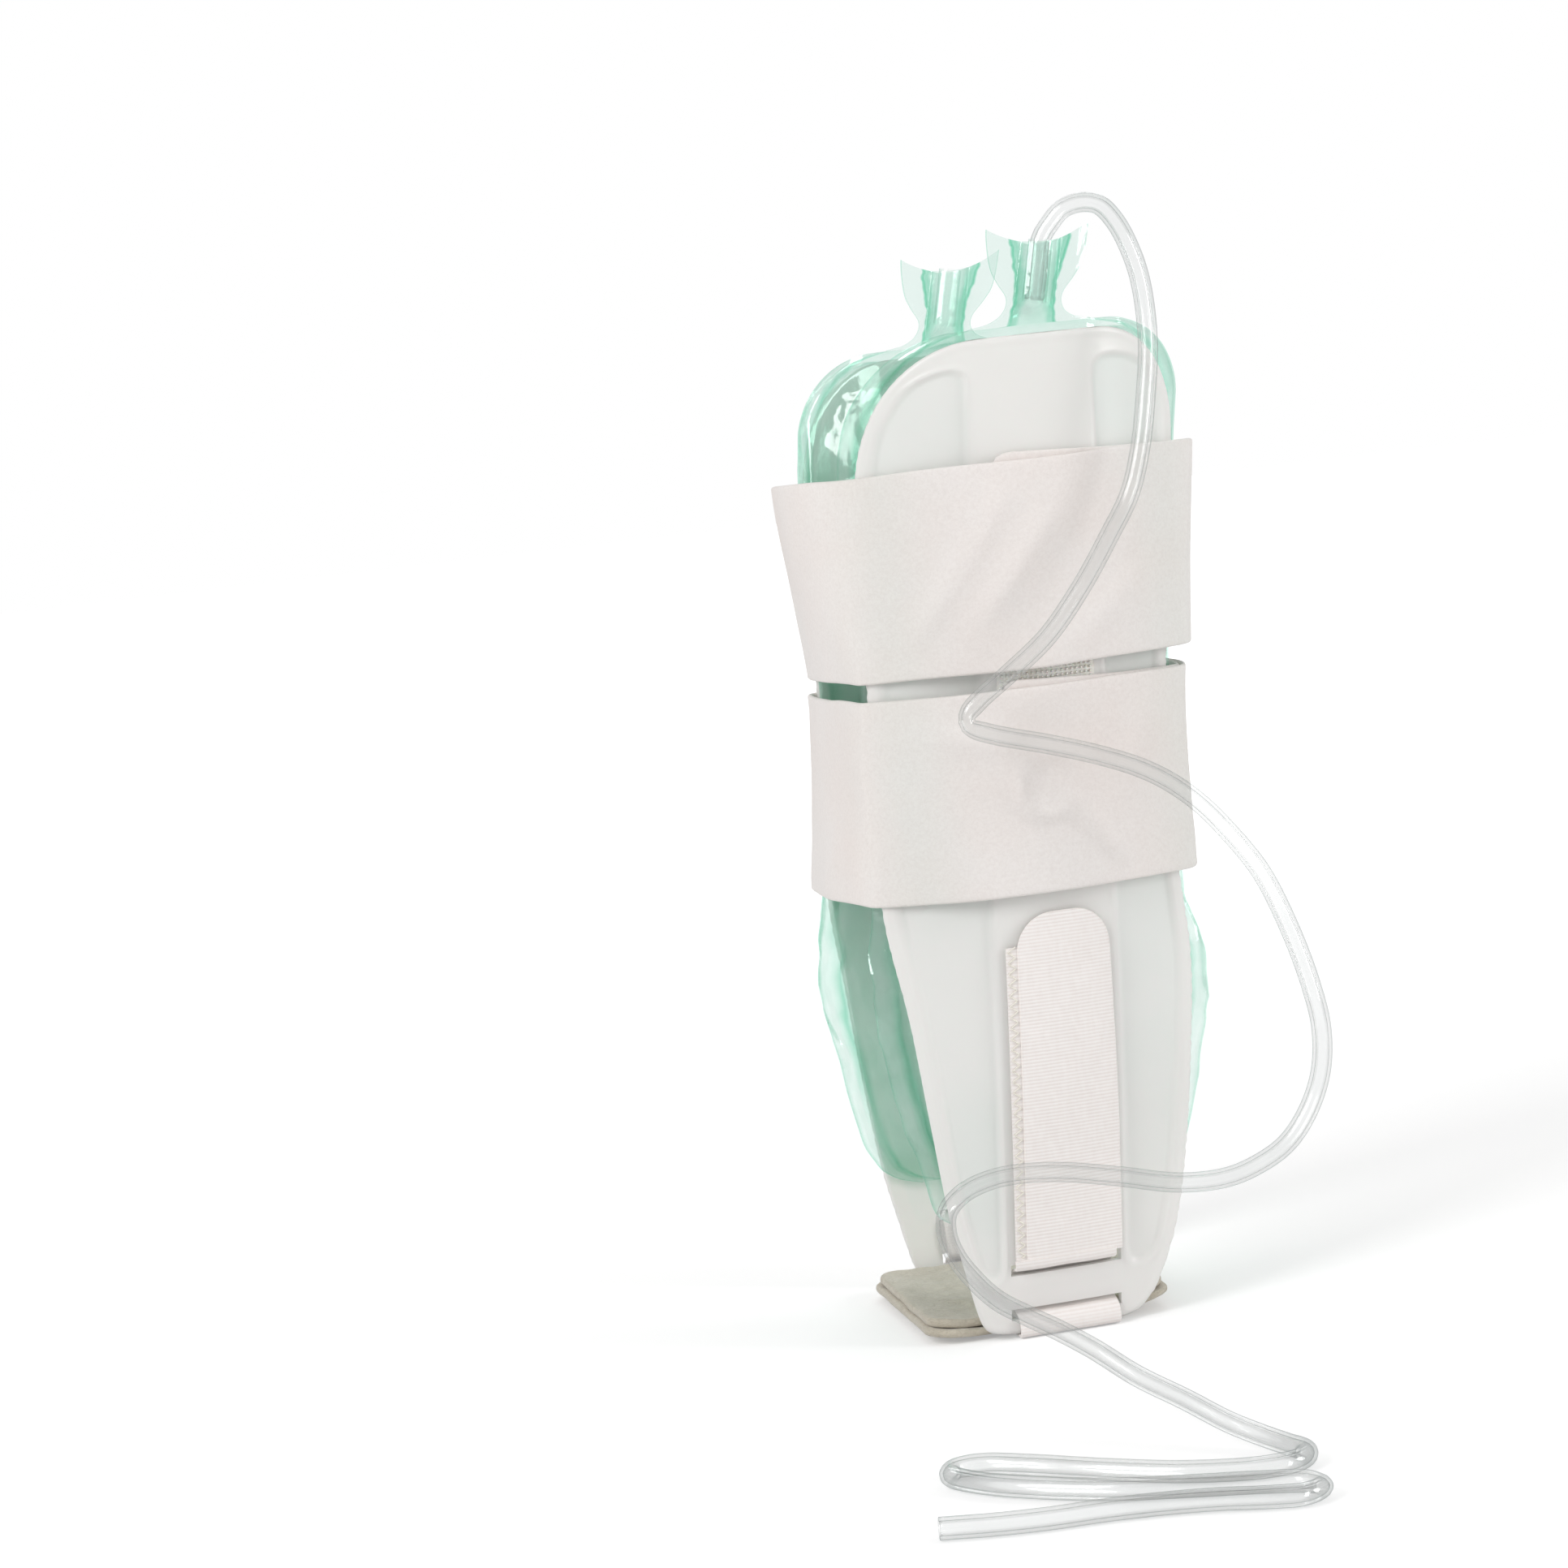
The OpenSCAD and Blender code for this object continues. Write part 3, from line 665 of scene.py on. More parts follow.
def shell(name, flip):
    zs = [1.2, 1.3, 1.5, 1.9, 2.4, 3.0, 3.8, 4.65, 5.6, 6.6, 7.55]
    zs += list(np.linspace(8.2, 15.4, 9)) + [16.25, 17.2, 18.2, 19.15] + list(np.linspace(20, 214, 150))
    zs += list(214 + 35 * sin(np.linspace(0.03, math.pi / 2, 70)))
    zs = np.array(sorted(set(np.round(zs, 4))))
    side = np.array([0, 0.08, 0.25, 0.5, 0.85, 1.3, 1.9, 2.6])
    A = []
    for z in zs:
        F, B = float(front(z)), float(back(z))
        x0 = LEAN * 0
        half = 14.5
        e = side * min(1, F / 30)
        l = np.concatenate([-F + e, np.linspace(-F + e[-1], -half, 22)[1:]]) if F - e[-1] > half + 1.0 else np.linspace(-F, -half * min(1, F / 17), 29)
        e = side * min(1, B / 30)
        r = np.concatenate([B - e, np.linspace(B - e[-1], half, 22)[1:]])[::-1] if B - e[-1] > half + 1.0 else np.linspace(half * min(1, B / 17), B, 29)
        mid = np.linspace(l[-1], r[0], 26)[1:-1]
        A.append(np.concatenate([l, mid, r]))
    A = np.array(A)
    Z = np.repeat(zs[:, None], A.shape[1], 1)
    e = edge_distance(A, Z, outline_points())
    # two sunk side panels with soft rounded corners, either side of the centre channel
    d = smin(smin(e - 3.5, abs(A) - 15.7, 5.5), smin(Z - 13.5, 243.5 - Z, 4.0), 5.5)
    sunk = ramp(0, 1.45, d)
    ridge = exp(-((d + 0.15) / 0.5) ** 2) * 0.26          # the raised lip beside each panel
    lip = 0.20 * exp(-((e - 1.3) / 0.9) ** 2)
    rr = 0.8
    edge_o = -(rr - sqrt(np.maximum(0, rr**2 - np.maximum(0, rr - e) ** 2)))
    warp = 0.16 * fbm(A / 22, Z / 30, 5, 2) * np.clip(e / 8, 0, 1)
    # gentle crown on the bridge
    bridge = 0.35 * ramp(7.5, 9.5, Z) * (1 - ramp(14.5, 16.2, Z)) * (1 - ramp(12, 15.5, abs(A)))
    Do = -0.95 * sunk + ridge + lip + edge_o + warp + bridge
    Di = -SHELL_T - edge_o * 0.9 + warp
    mask = np.ones((len(zs) - 1, A.shape[1] - 1), bool)
    zc, ac = (Z[:-1, :-1] + Z[1:, :-1]) / 2, (A[:-1, :-1] + A[:-1, 1:]) / 2
    for lo, hi in SLOTS:
        mask &= ~((zc > lo) & (zc < hi) & (abs(ac) < 14.3))
    ob = sheet(name, A, Z, Do, Di, M_SHELL, mask, flip, {"thin": np.clip(sunk * (0.75 + 0.45 * noise(A / 25, Z / 45, 3)), 0, 1)}, sharp=60)
    return ob


def zip_body(ob, body, slot, *nodes):
    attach(ob, body)
    if nodes:
        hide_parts(*nodes)
    return ob


for side, flip in (("medial", False), ("lateral", True)):
    zip_body(shell(side + "_shell_visual", flip), side + "_side", "shell", side + "_shell")


# ------------------------------------------------------------------ hook tape with real rows of hooks
def hook_patch(name, w, z0, z1, d_in, thick, flip, outward=1, pitch=1.25, hook_h=0.5, hooks=True, fine=2.0):
    zs = np.linspace(z0, z1, max(4, int((z1 - z0) / fine)))
    aa = np.linspace(-w, w, max(6, int(2 * w / 2)))
    A, Z = np.meshgrid(aa, zs)
    obs = [sheet(name + "_base", A, Z, d_in + thick + 0 * A, d_in + 0 * A, M_HOOK, None, flip)]
    if hooks:
        ca, cz = np.meshgrid(np.arange(-w + pitch, w - pitch / 2, pitch), np.arange(z0 + pitch, z1 - pitch / 2, pitch * 0.9))
        ca, cz = ca.ravel(), cz.ravel()
        s = 0.36
        base_d = d_in + (thick - 0.02 if outward > 0 else 0.02)
        tip_d = base_d + outward * hook_h
        V, F = [], []
        k = 0
        offs = [(-1, -1), (1, -1), (1, 1), (-1, 1)]
        rings = [(base_d, 0.7, 0.0), (base_d + outward * hook_h * 0.6, 0.62, 0.08), (tip_d, 0.9, 0.22)]
        for a, z in zip(ca, cz):
            pts = [(a + ox * s * sc, z + oz * s * sc + dz, dd) for dd, sc, dz in rings for ox, oz in offs]
            V += pts
            for r in range(2):
                b = k + 4 * r
                for q in range(4):
                    F.append((b + q, b + (q + 1) % 4, b + 4 + (q + 1) % 4, b + 4 + q))
            F.append((k + 3, k + 2, k + 1, k))
            F.append((k + 8, k + 9, k + 10, k + 11))
            k += 12
        V = np.array(V)
        X = P(V[:, 0], V[:, 1], V[:, 2])
        if flip:
            X = X * np.array([1, -1, 1])
        obs.append(make(name + "_hooks", X, F, M_HOOK, smooth=False, fix=True))
    return join(name, obs)


for side, flip in (("medial", False), ("lateral", True)):
    zip_body(hook_patch(side + "_channel_hook_visual", 12.5, 113.5, 216, 0.08, 0.35, flip, 1, 1.25, 0.5), side + "_side", "hook_tape", side + "_channel_hook")
    zip_body(hook_patch(side + "_heel_hook_visual", 11, 30, 98, 0.08, 0.35, flip, 1, 1.5, 0.42), side + "_side", "hook_tape", side + "_heel_hook")
    obs = [hook_patch(side + "_p1", 12, 62, 96, -SHELL_T - 0.8, 0.35, flip, -1, 1.6, 0.0, False), hook_patch(side + "_p2", 12, 172, 208, -SHELL_T - 0.8, 0.35, flip, -1, 1.6, 0.0, False)]
    zip_body(join(side + "_cell_hook_patches_visual", obs), side + "_side", "hook_tape", side + "_cell_hook_patches")

    def loop_patch(nm, z0, z1):
        zs, aa = np.linspace(z0, z1, 30), np.linspace(-12, 12, 22)
        A, Z = np.meshgrid(aa, zs)
        return sheet(nm, A, Z, -SHELL_T - 0.95 + 0.04 * noise(A, Z, 4), -SHELL_T - 1.45 + 0 * A, M_LOOP, None, flip)
    zip_body(join(side + "_cell_loop_patches_visual", [loop_patch("l1", 62, 96), loop_patch("l2", 172, 208)]), side + "_side", "strap_fabric", side + "_cell_loop_patches")


# ------------------------------------------------------------------ air cells
WELD = -SHELL_T - 2.15
neck_half = curve([[251.5, 17.5], [252.3, 12.2], [254.5, 8.6], [258, 7.9], [262, 10.9], [266, 13.5], [270, 14.6], [275, 14.4]])
_cf = curve([[28, 20], [30, 27], [34, 32.5], [48, 37.4], [60, 41], [79, 46.1], [97, 49], [113, 48.6], [160, 50], [219, 54], [260, 54]])
_cb = curve([[28, 18], [30, 25], [34, 31], [40, 35.4], [52, 38.5], [70, 42], [88, 45], [106, 41.5], [125, 40.5], [160, 42], [200, 47], [230, 51], [260, 51]])


def cell_front(z): return corner(_cf(z), 38, 218, 33.5, np.asarray(z, float))
def cell_back(z): return corner(_cb(z), 32, 230, 21.5, np.asarray(z, float))
def neck_mid(z): return 1.5 + 0.18 * (z - 250)


swell = curve([[28, 0], [36, 0.4], [60, 0.8], [110, 0.9], [200, 1], [232, 0.75], [247, 0.2], [251.5, 0]])
BULGE = 9.6


def cell_grid():
    zb = np.concatenate([28 + 8 * (1 - cos(np.linspace(0, math.pi / 2, 10))), np.linspace(37.5, 214, 100), 214 + 37.2 * sin(np.linspace(0.05, math.pi / 2, 46))])
    zn = np.concatenate([np.linspace(251.35, 252.3, 5), np.linspace(252.7, 270.8, 46)])
    fs = np.concatenate([-1 + np.array([0, 0.012, 0.03, 0.05, 0.075, 0.10, 0.125]), np.linspace(-0.86, 0.86, 59), 1 - np.array([0, 0.012, 0.03, 0.05, 0.075, 0.10, 0.125])[::-1]])
    A, Z, Fr, Nk = [], [], [], []
    for z in zb:
        a = np.where(fs < 0, fs * cell_front(z), fs * cell_back(z))
        A.append(a); Z.append(np.full(len(fs), z)); Fr.append(fs); Nk.append(0 * fs)
    for z in zn:
        w, c = float(neck_half(min(z, 275))) if z > 251.5 else 17.5, neck_mid(z)
        a = c + fs * w
        t = ramp(264, 270.8, z)
        A.append(a); Z.append(z + 4.4 * t * fs**2 * 1.0); Fr.append(fs); Nk.append(0 * fs + 1)
    return np.array(A), np.array(Z), np.array(Fr), np.array(Nk), len(zb)


GA, GZ, GF, GN, NB = cell_grid()


def crumple(A, Z, f, seed, amp):
    """Film puckers: long soft folds that run along the weld, stronger low on the cell."""
    side_ = np.sign(f)
    half = np.where(f < 0, cell_front(np.minimum(Z, 251)), cell_back(np.minimum(Z, 251)))
    into = (1 - abs(f)) * half                      # distance in from the film's edge
    band = exp(-((into - 3.5) / 5.0) ** 2)
    low = 0.30 + 0.95 * exp(-((Z - 85) / 36.0) ** 2)
    w = ridged(into / 4.2 + 0.9 * noise(Z / 17, side_ * 3.0, seed + 3), Z / 21 + side_ * 7, seed, 2)
    w2 = ridged(into / 3.0 + Z / 11, Z / 9 + side_ * 5, seed + 30, 2)
    return amp * band * low * (w * 0.8 + w2 * 0.32)


weld_line = curve([[251, 6.6], [254, 5.8], [258, 5.5], [262, 5.7], [266, 6.9], [270, 7.9], [276, 8.6]])


def air(f, z):
    return np.where(abs(f) >= 0.88, 0, BULGE * swell(z) * np.maximum(0, 1 - (f / 0.88) ** 2) ** 0.6)


def sleeve(q, z):
    return np.where(q >= 5.6, 0, 3.95 * np.maximum(0, 1 - (q / 5.6) ** 2) ** 0.85 * ramp(250.6, 258.5, z))


def let_down(ob, side, pts):
    """Cuts the leg-side film into panels, one for each stretch of its welded edge, along the lines where two stretches are
    equally near. Each panel sinks by how far it is from its own stretch, so the weld stays put and the panels stay joined."""
    me = ob.data
    nor = np.zeros(len(me.vertices) * 3, np.float32)
    me.vertex_normals.foreach_get("vector", nor)
    for k in range(3):
        me.attributes.new(f"rest_n{k}", "FLOAT", "POINT").data.foreach_set("value", nor.reshape(-1, 3)[:, k].copy())
    ring = sorted({(round(float(a), 6), round(float(b), 6)) for a, b in pts})

    def half_hull(seq):
        h = []
        for q in seq:
            while len(h) > 1 and (h[-1][0] - h[-2][0]) * (q[1] - h[-2][1]) - (h[-1][1] - h[-2][1]) * (q[0] - h[-2][0]) <= 0:
                h.pop()
            h.append(q)
        return h[:-1]
    hull = np.array(half_hull(ring) + half_hull(ring[::-1]))
    nrm = np.roll(hull, -1, 0) - hull
    nrm = np.stack([nrm[:, 1], -nrm[:, 0]], -1)
    nrm /= np.linalg.norm(nrm, axis=1)[:, None]
    dirs = [np.array(d, float) for d in ((1, 0), (-1, 0), (0, 1), (0, -1))]
    while len(dirs) < 11:
        inset = np.min([(hull @ d).max() - hull @ d for d in dirs], 0)
        k = int(inset.argmax())
        if inset[k] < 0.0012:
            break
        d = nrm[k] + nrm[k - 1]
        dirs.append(d / np.linalg.norm(d))
    cs = [float((hull @ d).max()) for d in dirs]
    every = np.array(ring)
    deep = float(np.min([c - every @ d for d, c in zip(dirs, cs)], 0).max()) * 1.05
    for i, (d, c) in enumerate(zip(dirs, cs)):
        bm = bmesh.new()
        bm.from_mesh(me)
        for j, (d2, c2) in enumerate(zip(dirs, cs)):
            if i != j and len(bm.faces):
                g = d2 - d
                ln = float(np.linalg.norm(g))
                q = g * ((c2 - c) / ln**2)
                bmesh.ops.bisect_plane(bm, geom=bm.verts[:] + bm.edges[:] + bm.faces[:], dist=1e-7, plane_co=(q[0], 0, q[1]), plane_no=(g[0] / ln, 0, g[1] / ln), clear_outer=True)
        if not len(bm.faces):
            bm.free()
            continue
        m2 = bpy.data.meshes.new(f"{ob.name}_{i}")
        bm.to_mesh(m2)
        bm.free()
        n2 = np.zeros((len(m2.vertices), 3), np.float32)
        for k in range(3):
            v = np.zeros(len(m2.vertices), np.float32)
            m2.attributes[f"rest_n{k}"].data.foreach_get("value", v)
            n2[:, k] = v
        for k in range(3):
            m2.attributes.remove(m2.attributes[f"rest_n{k}"])
        m2.materials.clear()
        m2.materials.append(me.materials[0])
        m2.shade_smooth()
        n2 /= np.maximum(np.linalg.norm(n2, axis=1), 1e-9)[:, None]
        m2.normals_split_custom_set_from_vertices(n2.tolist())
        o2 = bpy.data.objects.new(f"{ob.name}_{i}", m2)
        bpy.context.scene.collection.objects.link(o2)
        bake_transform(o2, side + "_side", side + "_air_wall", start=(d[0] * c, 0, d[1] * c), end=(d[0] * (c - deep), 0, d[1] * (c - deep)))
        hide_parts(side + "_cell_inner_film")
    bpy.data.objects.remove(ob)


def films(side, flip, seed):
    A, Z, f, nk = GA.copy(), GZ.copy(), GF, GN
    # the free edge of the film waves in and out a little
    wob = 1 + np.where(nk > 0, 0.0, (0.016 * noise(Z / 15, np.sign(f) * 3, seed) + 0.006 * noise(Z / 5, np.sign(f) * 8, seed + 1)) * (0.15 + 1.1 * (1 - ramp(98, 128, Z))) - 0.018 * exp(-((Z - 93) / 3.2) ** 2) * (f < 0))
    A = np.where(nk > 0, A, A * wob)
    q = abs(A - neck_mid(Z))
    slv = np.where(nk > 0, sleeve(q, np.minimum(Z, 270.8)), 0)
    fr = np.where(A < 0, front(np.minimum(Z, 248.9)), back(np.minimum(Z, 248.9)))
    beyond = np.clip(abs(A) - fr, 0, 12)
    # where the film stands past the shell it curls up towards the shell's edge
    curl = np.where(nk > 0, 0, (1.2 + 1.0 * (1 - ramp(86, 108, Z)) + 0.8 * ramp(224, 236, Z)) * ramp(0, 7, beyond))
    free = np.where((beyond > 0.5) | (nk > 0) | (Z > 249.5), 1.0, 0.0)
    c1 = crumple(A, Z, f, seed, 0.9) * np.where(nk > 0, 0.2, 1)
    c2 = crumple(A, Z, f, seed + 50, 0.7) * np.where(nk > 0, 0.2, 1)
    t = 0.28
    base = WELD + curl
    joint = c1 * np.where(abs(f) > 0.86, 1, 0) * free
    puff = 1.5 * np.where(abs(f) < 0.88, np.maximum(0, 1 - (f / 0.88) ** 2) ** 0.5, 0) * 0
    up = np.maximum(0, c1) * free * np.where(abs(f) > 0.86, 0, 1)
    outer = base + 0.05 + slv + joint + up * 0.9 + puff
    dn = air(f, Z) * np.where(nk > 0, 0, 1)
    wr = 0.35 * ridged(A / 13, Z / 9, seed + 70, 3) * ramp(0.4, 3.0, dn) + 0.25 * fbm(A / 9, Z / 14, seed + 80, 2) * ramp(0.4, 3.0, dn)
    inner = base - 0.05 - slv - dn + joint + c2 * 0.5 * (1 - ramp(0.84, 0.9, abs(f))) * ramp(0.5, 2.5, dn) + wr
    inner = np.minimum(inner, outer - 0.1)
    # weld lines: a seam just inside the film's edge, and the two wavy seams that make the filling channel
    dz = GZ
    qn = abs(A - neck_mid(dz)) - (weld_line(np.minimum(dz, 275)) + 0.32 * noise(dz / 1.5, np.sign(A - neck_mid(dz)) * 4, seed + 90))
    rim = 1 - abs(f)
    neck_w = 1.25 * exp(-(qn / 0.42) ** 2) + 0.62 * exp(-((qn + 1.3) / 0.9) ** 2) + np.where(qn < 0, 0.26, -0.30 * ramp(0.3, 1.0, qn)) + 0.95 * (1 - ramp(0.0, 0.035, rim))
    half = np.where(f < 0, cell_front(np.minimum(Z, 251)), cell_back(np.minimum(Z, 251)))
    into = rim * half
    body_w = 0.95 * exp(-((into - 5.6) / 0.65) ** 2) + 0.40 * exp(-((into - 4.2) / 0.5) ** 2) + 0.55 * (1 - ramp(0.1, 0.7, into)) + 0.06
    mixn = ramp(249.5, 252.5, GZ)
    weld = np.where(nk > 0, neck_w, body_w * (1 - mixn) + 0.25 * mixn)
    o = skin(side + "_cell_outer_film_visual", A, Z, outer + t / 2, M_FILM, flip, {"weld": weld})
    i = skin(side + "_cell_inner_film_visual", A, Z, inner - t / 2, M_FILM_IN, flip, {"weld": weld * 0.7}, inward=True)
    puffed = (nk == 0) & (abs(f) <= 0.89) & (dn > 0.3)
    return o, i, P(A, Z, inner)[puffed][:, [0, 2]] * S


for side, flip, seed in (("medial", False, 11), ("lateral", True, 23)):
    o, i, puffed = films(side, flip, seed)
    zip_body(o, side + "_side", "film", side + "_cell_outer_film")
    let_down(i, side, puffed)

NECK0 = np.array([15.8, -45.05, 250.0])
ND = np.array([math.sin(math.radians(12.66)), 0, math.cos(math.radians(12.66))])
for side, flip in (("medial", False), ("lateral", True)):
    s = np.array([1, -1 if flip else 1, 1])
    line = np.array([(NECK0 + ND * t) * s for t in np.linspace(6.8, 21.8, 14)])
    v = tube_mesh(side + "_cell_valve_visual", line, np.full(14, 2.95), M_VALVE, 28, ends=(False, False))
    zip_body(v, side + "_side", "film", side + "_cell_valve")


# ------------------------------------------------------------------ bands of webbing and strap
def rounded_section(w0, w1, t, nw, r=None):
    """Closed loop of (across, through) pairs for a flat band with rounded edges, running outer face then inner face."""
    r = t / 2 if r is None else r
    u = np.linspace(w0 + r, w1 - r, nw)
    th = np.linspace(0, math.pi, 7)[1:-1]
    hi = [(w1 - r + r * sin(a), t / 2 * cos(a)) for a in th]
    lo = [(w0 + r - r * sin(a), -t / 2 * cos(a)) for a in th]
    return np.array([(x, t / 2) for x in u] + hi + [(x, -t / 2) for x in u[::-1]] + lo)


def sweep(name, rings, mat, attrs=None, caps=(True, True)):
    """rings: n x m x 3 closed sections."""
    n, m, _ = rings.shape
    idx = np.arange(n * m).reshape(n, m)
    nx = np.roll(idx, -1, 1)
    F = np.stack([idx[:-1], nx[:-1], nx[1:], idx[1:]], -1).reshape(-1, 4).tolist()
    if True:
        h = m // 2
        for row, rev, wanted in ((idx[0], False, caps[0]), (idx[-1], True, caps[1])):
            if not wanted:
                continue
            a, b = row[:h], row[::-1][:h]
            for k in range(h - 1):
                q = [a[k], a[k + 1], b[k + 1], b[k]]
                if len(set(q)) == 4:
                    F.append(q[::-1] if rev else q)
    return make(name, rings.reshape(-1, 3), F, mat, attrs=attrs, fix=True)


reach_f = curve([[100, 10], [114, 9], [138, 5.5], [163, 5.5], [168, 6.5], [193, 14.5], [220, 23]])
reach_b = curve([[100, 9], [114, 8.5], [138, 8.8], [163, 9.8], [168, 12.5], [193, 11.5], [220, 11.5]])
D1, D0, D2, D3 = 1.5, 1.0, 3.2, 4.1
STRAP_T = 1.5


def bezier(e, dr, reach, t):
    a = e
    b = e + dr * reach[:, None]
    m = np.array([1, -1, 1])
    c, d = b * m, a * m
    return (1 - t) ** 3 * a + 3 * (1 - t) ** 2 * t * b + 3 * (1 - t) * t**2 * c + t**3 * d


def strap_point(kind, t, e, z):
    """Point of the strap's path at height z with stand-off e (arrays)."""
    A, B, R = front(z), back(z), bend_r(z)
    m = np.array([1, -1, 1])
    if kind == 0:
        return P(-12 + (B + 12) * t, z, e)
    if kind in (1, 3):
        F = kind == 3
        w = (A if F else B) / R
        ex = P(-A if F else B, z, e)
        dr = np.stack([-cos(w) if F else cos(w), sin(w), 0 * w], -1)
        p = bezier(ex, dr, (reach_f(z) if F else reach_b(z)) + 0.6 * e, t)
        return p * m if F else p
    if kind == 2:
        return P(B - (A + B) * t, z, e) * m
    if kind == 4:
        return P(-A + (A + B) * t, z, e)
    return P(B - t, z, e) * m


def strap_rings(stops, z0, w, t, seed, nw=27, round_start=0.0, round_end=0.0):
    """stops: (kind, t, stand-off, lift, running length)."""
    rings, ss = [], []
    total = stops[-1][4]
    for kind, tt, e, lift, s in stops:
        cut = 0.0
        for rr, dist in ((round_start, s - stops[0][4]), (round_end, total - s)):
            if rr and dist < rr:
                cut = max(cut, rr - math.sqrt(max(0.0, rr**2 - (rr - dist) ** 2)))
        sec = rounded_section(cut, w - cut, t, nw, min(t / 2, 0.7))
        z = z0 + sec[:, 0]
        # soft creases that both faces share, and slight ripple along the edges
        under = e < D1 + 0.05 and kind in (0, 1, 2)
        span = 0.12 if under else (1.0 if kind in (1, 3) else 0.5)
        cr = span * (0.6 * noise(s / 30 + z * 0.02, z / 38, seed) + 0.28 * noise(s / 12 - z * 0.05, z / 17, seed + 1))
        edge_w = exp(-((sec[:, 0] - cut) / 6.0) ** 2) + exp(-((w - cut - sec[:, 0]) / 6.0) ** 2)
        cr = cr + 0.30 * span * edge_w * noise(s / 17 + 0 * z, np.where(sec[:, 0] > w / 2, 5.0, 9.0), seed + 2)
        if under:
            cr = np.clip(cr, -0.12, 0.12)
        elif kind in (2, 4, 5):
            cr = sqrt(0.02 + np.maximum(cr + 0.1, 0) ** 2) - 0.1
        elif kind == 1:
            cr = np.maximum(cr, -0.04)
        p = strap_point(kind, tt, e + sec[:, 1] + cr, z)
        p[:, 2] += lift + 0.35 * noise(s / 22 + 0 * z, 0 * z, seed + 5)
        rings.append(p)
        ss.append(s)
    return np.array(rings), np.array(ss)


def strap_stops():
    out, s = [], 0.0

    def seq(kind, n, f_e, f_l, length, skip=True):
        nonlocal s
        for i in range(n + 1):
            t = i / n
            if skip and i == 0:
                continue
            out.append((kind, t, f_e(t), f_l(t), s + length * t))
        s += length
    seq(0, 30, lambda t: D1, lambda t: 2.6 * (1 - t) ** 1.5, 50, False)
    seq(1, 50, lambda t: D1, lambda t: 0, 85)
    seq(2, 46, lambda t: D1 - (D1 - D0) * float(ramp(0.64, 0.95, t)), lambda t: 0, 84)
    seq(3, 60, lambda t: D0, lambda t: 0, 90)
    seq(4, 54, lambda t: D0 + (D2 - D0) * float(ramp(0.08, 0.36, t)), lambda t: 0, 84)
    seq(1, 50, lambda t: D2 + (D3 - D2) * t, lambda t: 0, 85)
    out.append((5, 1.8, D3, 0, s + 1.8))
    out.append((5, 3.6, D3, 0, s + 3.6))
    return out


def fold(x, z, x0, z0, ang, length, width, height):
    """A soft straight fold: height over a line through (x0, z0) at an angle, fading at its ends."""
    c, s_ = math.cos(math.radians(ang)), math.sin(math.radians(ang))
    u, v = (x - x0) * c + (z - z0) * s_, -(x - x0) * s_ + (z - z0) * c
    return height * exp(-(v / width) ** 2) * exp(-(u / length) ** 4)


def local_bumps(rings, lower, outer):
    """Soft folds and a dimple on the near side of the outer turn; they only stand outward."""
    x, y, z = rings[..., 0] - LEAN * rings[..., 2], rings[..., 1], rings[..., 2]
    on = ramp(-34, -40, y) * outer[:, None]
    h = 0 * x
    if lower:
        r, ang = sqrt((x + 1.5) ** 2 + ((z - 139.5) * 0.92) ** 2), np.arctan2(z - 139.5, -(x + 1.5))
        h += 1.9 * exp(-((r - 7.2) / 1.9) ** 2) * (0.5 + 0.5 * cos(ang)) ** 0.8
        h += fold(x, z, 9, 127.5, -48, 13, 2.3, 1.7)
        h += fold(x, z, -17, 151, -12, 16, 3.4, 1.0)
        h += fold(x, z, 24, 148, 70, 15, 4.0, 0.8)
    else:
        h += fold(x, z, -20, 195, 58, 19, 3.3, 1.8)
        h += fold(x, z, -7, 193, 55, 15, 2.4, 0.95)
        h += fold(x, z, 17, 181, 38, 15, 4.0, 0.9)
        h += fold(x, z, 26, 205, 75, 13, 4.0, 0.7)
    out = rings.copy()
    out[..., 1] -= h * on
    return out


